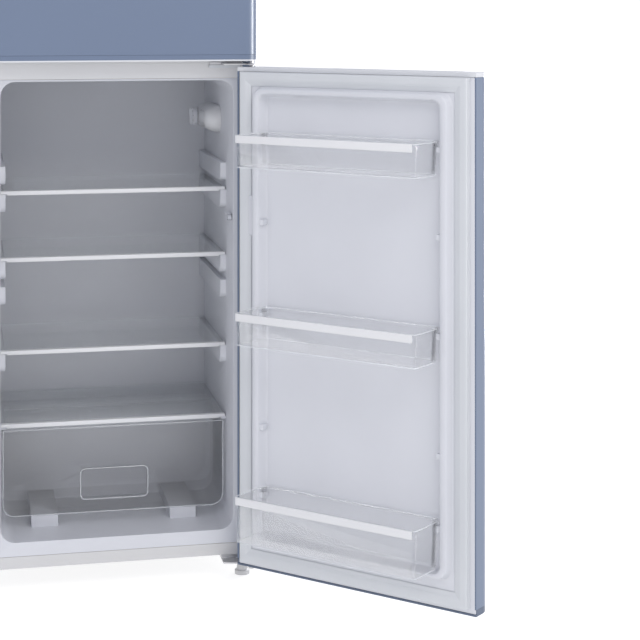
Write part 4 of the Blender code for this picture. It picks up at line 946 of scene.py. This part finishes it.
class FRIDGE_OT_door_bins(bpy.types.Operator):
    """Makes the clear door bins: drafted walls, a rolled rim, two lugs and a bar along the front"""

    bl_idname = "fridge.door_bins"
    bl_label = "Make the door bins"

    def execute(self, context):
        settings = context.scene.fridge_door
        wall = settings.bin_wall
        for label in ("top", "middle", "bottom"):
            name = f"door_bin_{label}"
            low, high = shut_box(name)
            base, top = low[2], high[2]
            draft = settings.bin_draft
            section = [
                (draft + 0.0030, base),
                (draft + 0.0014, base + 0.0004),
                (draft + 0.0004, base + 0.0014),
                (draft, base + 0.0035),
                (0.0006, top - 0.0075),
                (0.0, top - 0.0068),
                (0.0, top - 0.0008),
                (0.0006, top),
                (wall + 0.0002, top),
                (wall + 0.0006, top - 0.0008),
                (wall + 0.0004, top - 0.0075),
                (draft + wall - 0.0004, base + 0.0045),
                (draft + wall + 0.0004, base + wall + 0.0012),
                (draft + wall + 0.0026, base + wall),
            ]
            grid = shells([(bin_outline(low, high, inset, settings), at) for inset, at in section], "z")
            grids = [grid]
            narrow = high[0] - settings.bin_overhang
            for side in (-1, 1):
                ends = sorted((side * (narrow - 0.0012), side * (narrow + settings.lug_reach)))
                lug_low = (ends[0], low[1] + 0.001, top - settings.lug_height)
                lug_high = (ends[1], low[1] + 0.001 + settings.lug_depth, top - 0.0006)
                grids.append(soft_block(lug_low, lug_high, "x", 0.0020, 0.0008))
            piece(f"{name}_moulding", grids, "clear_plastic", name, [name], smooth=40.0)
            # beads along the bin's rim and base: the rims are real, and their paler, less clear finish is a
            # painted highlight for the bright edge lines
            beads = []
            for inset, at in ((0.0009, top - 0.0009), (draft + 0.0012, base + 0.0012)):
                loops = [(bin_outline(low, high, inset + a, settings), at + b) for a, b in disc(0.0009)]
                beads.append(shells(loops, "z"))
            piece(f"{name}_beads", beads, "clear_plastic", name, finish="clear_edge", wrap_rows=True)
            low, high = shut_box(f"{name}_bar")
            bar = soft_block(low, high, "x", 0.0013, 0.0010)
            piece(f"{name}_rail", [bar], "white_plastic", name, [f"{name}_bar"], finish="bar_white")
        return {"FINISHED"}


def disc(radius, sides=8):
    """Points (radius * cos, radius * sin) round a small circle."""
    turn = np.linspace(0.0, 2 * math.pi, sides + 1)[:-1]
    return radius * np.stack([np.cos(turn), np.sin(turn)], -1)


class FRIDGE_OT_crisper_beads(bpy.types.Operator):
    """Runs thick beads round the crisper's front, its rim and its pull: the rims are real, and the beads'
    paler, less clear finish is a painted highlight for the bright edge lines of the clear drawer
    """

    bl_idname = "fridge.crisper_beads"
    bl_label = "Bead the crisper"

    def execute(self, context):
        settings = context.scene.fridge_cabinet
        low, high = shut_box("crisper_drawer")
        front = low[1] + 0.0011
        bends = np.array([settings.crisper_radius, settings.crisper_radius, 0.003, 0.003])
        grids = []
        face = [
            (rounded(low[0] + a, low[2] + a, high[0] - a, high[2] - a, bends - a, 12), front + b)
            for a, b in disc(0.0010) + (0.0011, 0.0)
        ]
        grids.append(shells(face, "y"))
        pull = settings.pull
        mouth = [
            (rounded(pull[0] + a, pull[1] + a, pull[2] - a, pull[3] - a, 0.010 - a, 8), front - 0.0001 + b)
            for a, b in disc(0.0010)
        ]
        grids.append(shells(mouth, "y"))
        rim = [
            (rounded(low[0] + a, low[1] + a, high[0] - a, high[1] - a, 0.004 - a, 6), high[2] - 0.0011 + b)
            for a, b in disc(0.0010) + (0.0011, 0.0)
        ]
        grids.append(shells(rim, "z"))
        piece("crisper_beads", grids, "clear_plastic", "crisper", finish="clear_edge", wrap_rows=True)
        return {"FINISHED"}


class FRIDGE_OT_lamp_dome(bpy.types.Operator):
    """Moulds the lamp's housing as one soft oval dome on the liner's wall"""

    bl_idname = "fridge.lamp_dome"
    bl_label = "Mould the lamp housing"

    def execute(self, context):
        settings = context.scene.fridge_cabinet
        low, high = shut_box("lamp_housing")
        half = (high[2] - low[2]) / 2
        t = np.linspace(0.0, 1.0, 15)
        inset = settings.dome_inset * (1 - np.sqrt(1 - t**2))
        rings = []
        for share, shrink in zip(t, inset):
            oval = inward((low[1], low[2], high[1], high[2]), shrink)
            rings.append((rounded(*oval, half - shrink, 16), high[0] - (high[0] - low[0]) * share))
        dome = [shells(rings, "x")]
        look = {"finish": "bar_white", "smooth": 60.0}
        piece("lamp_dome", dome, "white_plastic", "cabinet", ["lamp_housing"], **look)
        return {"FINISHED"}


class FRIDGE_OT_condenser_wires(bpy.types.Operator):
    """Welds upright wires to both sides of the condenser's tube"""

    bl_idname = "fridge.condenser_wires"
    bl_label = "Weld the condenser wires"

    def execute(self, context):
        settings = context.scene.fridge_cabinet
        low, high = shut_box("condenser_tube")
        frame_low, frame_high = shut_box("condenser_frame")
        radius = settings.wire_radius
        across = np.linspace(frame_low[0] + 0.02, frame_high[0] - 0.02, settings.wires)
        ends = (frame_low[2] + 0.012, frame_high[2] - 0.012)
        grids = []
        for at in (low[1] - radius * 0.8, high[1] - radius):
            for x in across:
                grids.append(shells([(disc(radius, 6) + (x, at), z) for z in ends], "z"))
        piece("condenser_wires", grids, "black_steel", "cabinet")
        return {"FINISHED"}


class FRIDGE_OT_soft_edges(bpy.types.Operator):
    """Rounds the edges of the moulded and pressed pieces, each by its own width"""

    bl_idname = "fridge.soft_edges"
    bl_label = "Round the edges"

    def execute(self, context):
        for width, nodes in SOFT_EDGES.items():
            for node in nodes:
                softened(node, SLOT_OF[node], width, OWN_FINISH.get(node))
        return {"FINISHED"}


class FRIDGE_OT_dial(bpy.types.Operator):
    """Turns the thermostat's dial: a fluted skirt, a dished face, a grip bar and a ring of printed marks"""

    bl_idname = "fridge.dial"
    bl_label = "Turn the dial"

    def execute(self, context):
        low, high = shut_box("thermostat_knob")
        middle = (low + high) / 2
        radius = (high[2] - low[2]) / 2
        skirt_at = low[0] + 0.0052
        base = shut_box("lamp_housing")[0][0] - 0.0003
        angle = np.linspace(0.0, 2 * math.pi, 193)[:-1]
        flute = 1 - 0.022 * (1 + np.cos(32 * angle)) / 2
        section = [
            (0.90, base),
            (0.96, base - 0.0006),
            (1.0, base - 0.002),
            (0.98, skirt_at + 0.0016),
            (0.94, skirt_at + 0.0003),
            (0.88, skirt_at),
            (0.60, skirt_at + 0.0006),
            (0.20, skirt_at + 0.0008),
        ]
        rows = []
        for share, at in section:
            fluted = flute if share > 0.93 else np.ones_like(flute)
            reach = radius * share * fluted
            round_it = [middle[1] + reach * np.cos(angle), middle[2] + reach * np.sin(angle)]
            rows.append(np.stack([np.full_like(angle, at), *round_it], -1))
        grip_low = (low[0], middle[1] - 0.0032, middle[2] - radius * 0.86)
        grip_high = (skirt_at + 0.002, middle[1] + 0.0032, middle[2] + radius * 0.86)
        grip = soft_block(grip_low, grip_high, "x", 0.0030, 0.0012)
        knob = "thermostat_knob"
        piece("thermostat_dial", [np.stack(rows), grip], "white_plastic", knob, [knob])
        half_mark = np.array([(-1, -1), (1, -1), (1, 1), (-1, 1)]) * (0.0022, 0.0006)
        ticks = []
        for turn in np.linspace(-2.2, 2.2, 7) + math.pi / 2:
            out = np.array([math.cos(turn), math.sin(turn)])
            across = np.array([-out[1], out[0]])
            centre = middle[1:] + out * radius * 0.74
            mark = bent([centre + out * a + across * b for a, b in half_mark], 0.0003, 2)
            ticks.append(shells([(mark, skirt_at + lift) for lift in (0.0008, -0.0001)], "x"))
        piece("thermostat_marks", ticks, "black_plastic", knob)
        return {"FINISHED"}


def lamp(name, at, aim, size, power, colour=(1.0, 1.0, 1.0), glints=False):
    """A soft lamp at a place, facing another, in cabinet coordinates. With glints it shows in gloss only."""
    light = bpy.data.lights.new(name, "AREA")
    light.shape = "RECTANGLE"
    light.color = colour
    light.size, light.size_y = size
    light.energy = power
    obj = bpy.data.objects.new(name, light)
    obj.location = Vector(ORIGIN + np.array(at))
    obj.rotation_euler = (Vector(aim) - Vector(at)).to_track_quat("-Z", "Y").to_euler()
    obj.visible_diffuse = not glints
    bpy.context.scene.collection.objects.link(obj)


def floor_sweep(name, finish):
    """A floor that is level everywhere."""
    across = np.linspace(-300.0, 300.0, 3)
    along = np.linspace(-60.0, 600.0, 3)
    x, y = np.meshgrid(across, along)
    grid = np.stack([x, y, np.zeros_like(x)], -1)
    mesh = bpy.data.meshes.new(name)
    mesh.from_pydata(grid.reshape(-1, 3), [], grid_faces(3, 3, wrap_columns=False).tolist())
    obj = bpy.data.objects.new(name, mesh)
    bpy.context.scene.collection.objects.link(obj)
    mesh.materials.append(finish)


class FRIDGE_OT_stage(bpy.types.Operator):
    """Lays the pale floor and sets the soft lights and the camera"""

    bl_idname = "fridge.stage"
    bl_label = "Set the studio"

    def execute(self, context):
        settings = context.scene.fridge_stage
        scene = context.scene
        scene.view_settings.view_transform = "Standard"
        world = bpy.data.worlds.new("studio")
        scene.world = world
        world.use_nodes = True
        sky = world.node_tree.nodes["Background"]
        seen = world.node_tree.nodes.new("ShaderNodeLightPath")
        level = world.node_tree.nodes.new("ShaderNodeMix")
        level.data_type = "RGBA"
        sockets = {socket.identifier: socket for socket in level.inputs}
        sockets["A_Color"].default_value = opaque(settings.sky, settings.daylight)
        sockets["B_Color"].default_value = opaque((1.0, 1.0, 1.0), settings.backdrop)
        blend = {socket.identifier: socket for socket in level.outputs}["Result_Color"]
        world.node_tree.links.new(seen.outputs["Is Camera Ray"], sockets["Factor_Float"])
        world.node_tree.links.new(blend, sky.inputs["Color"])
        glow = {"Emission_Color": (1.0, 1.0, 1.0, 1.0), "Emission_Strength": settings.floor_glow}
        floor_sweep("studio_floor", mottled("studio_floor", (0.45, 0.45, 0.45), 0.8, **glow))
        lamp("key_lamp", (0.9, -3.0, 3.0), (0.0, 0.0, 0.5), (2.2, 1.6), settings.key, (1.0, 0.975, 0.94))
        lamp("front_strip", (3.1, -1.2, 1.3), (0.2, 0.0, 1.2), (0.35, 2.2), settings.edge, glints=True)
        lamp("back_strip", (2.3, 2.0, 1.2), (0.6, -0.4, 0.8), (0.9, 2.4), settings.edge * 1.5, glints=True)
        camera = bpy.data.cameras.new("camera")
        camera.lens = settings.lens
        camera.sensor_width = 36.0
        camera.shift_x, camera.shift_y = settings.shift
        obj = bpy.data.objects.new("camera", camera)
        obj.location = Vector(ORIGIN) + Vector(settings.camera)
        obj.rotation_euler = (math.pi / 2, 0.0, -settings.turn)
        scene.collection.objects.link(obj)
        scene.camera = obj
        return {"FINISHED"}


OPERATORS = [
    FRIDGE_OT_finish,
    FRIDGE_OT_soft_edges,
    FRIDGE_OT_door_linings,
    FRIDGE_OT_gaskets,
    FRIDGE_OT_door_skins,
    FRIDGE_OT_door_bins,
    FRIDGE_OT_crisper_beads,
    FRIDGE_OT_lamp_dome,
    FRIDGE_OT_dial,
    FRIDGE_OT_condenser_wires,
    FRIDGE_OT_stage,
]


class FRIDGE_PT_looks(bpy.types.Panel):
    """Lists the steps and the sizes that they use"""

    bl_idname = "FRIDGE_PT_looks"
    bl_label = "Refrigerator"
    bl_space_type = "VIEW_3D"
    bl_region_type = "UI"
    bl_category = "Refrigerator"

    def draw(self, context):
        for name, group in GROUPS.items():
            settings = getattr(context.scene, name)
            box = self.layout.box()
            for label in group.__annotations__:
                box.prop(settings, label)
        for step in OPERATORS:
            self.layout.operator(step.bl_idname)


def register():
    """Adds the settings, the steps and the panel."""
    for made in [*GROUPS.values(), *OPERATORS, FRIDGE_PT_looks]:
        bpy.utils.register_class(made)
    for name, group in GROUPS.items():
        setattr(bpy.types.Scene, name, bpy.props.PointerProperty(type=group))


def unregister():
    """Takes away what register added."""
    for name in GROUPS:
        delattr(bpy.types.Scene, name)
    for made in reversed([*GROUPS.values(), *OPERATORS, FRIDGE_PT_looks]):
        bpy.utils.unregister_class(made)


def main():
    """Runs every step in order."""
    register()
    for step in OPERATORS:
        group, action = step.bl_idname.split(".")
        getattr(getattr(bpy.ops, group), action)()


if __name__ == "__main__":
    main()
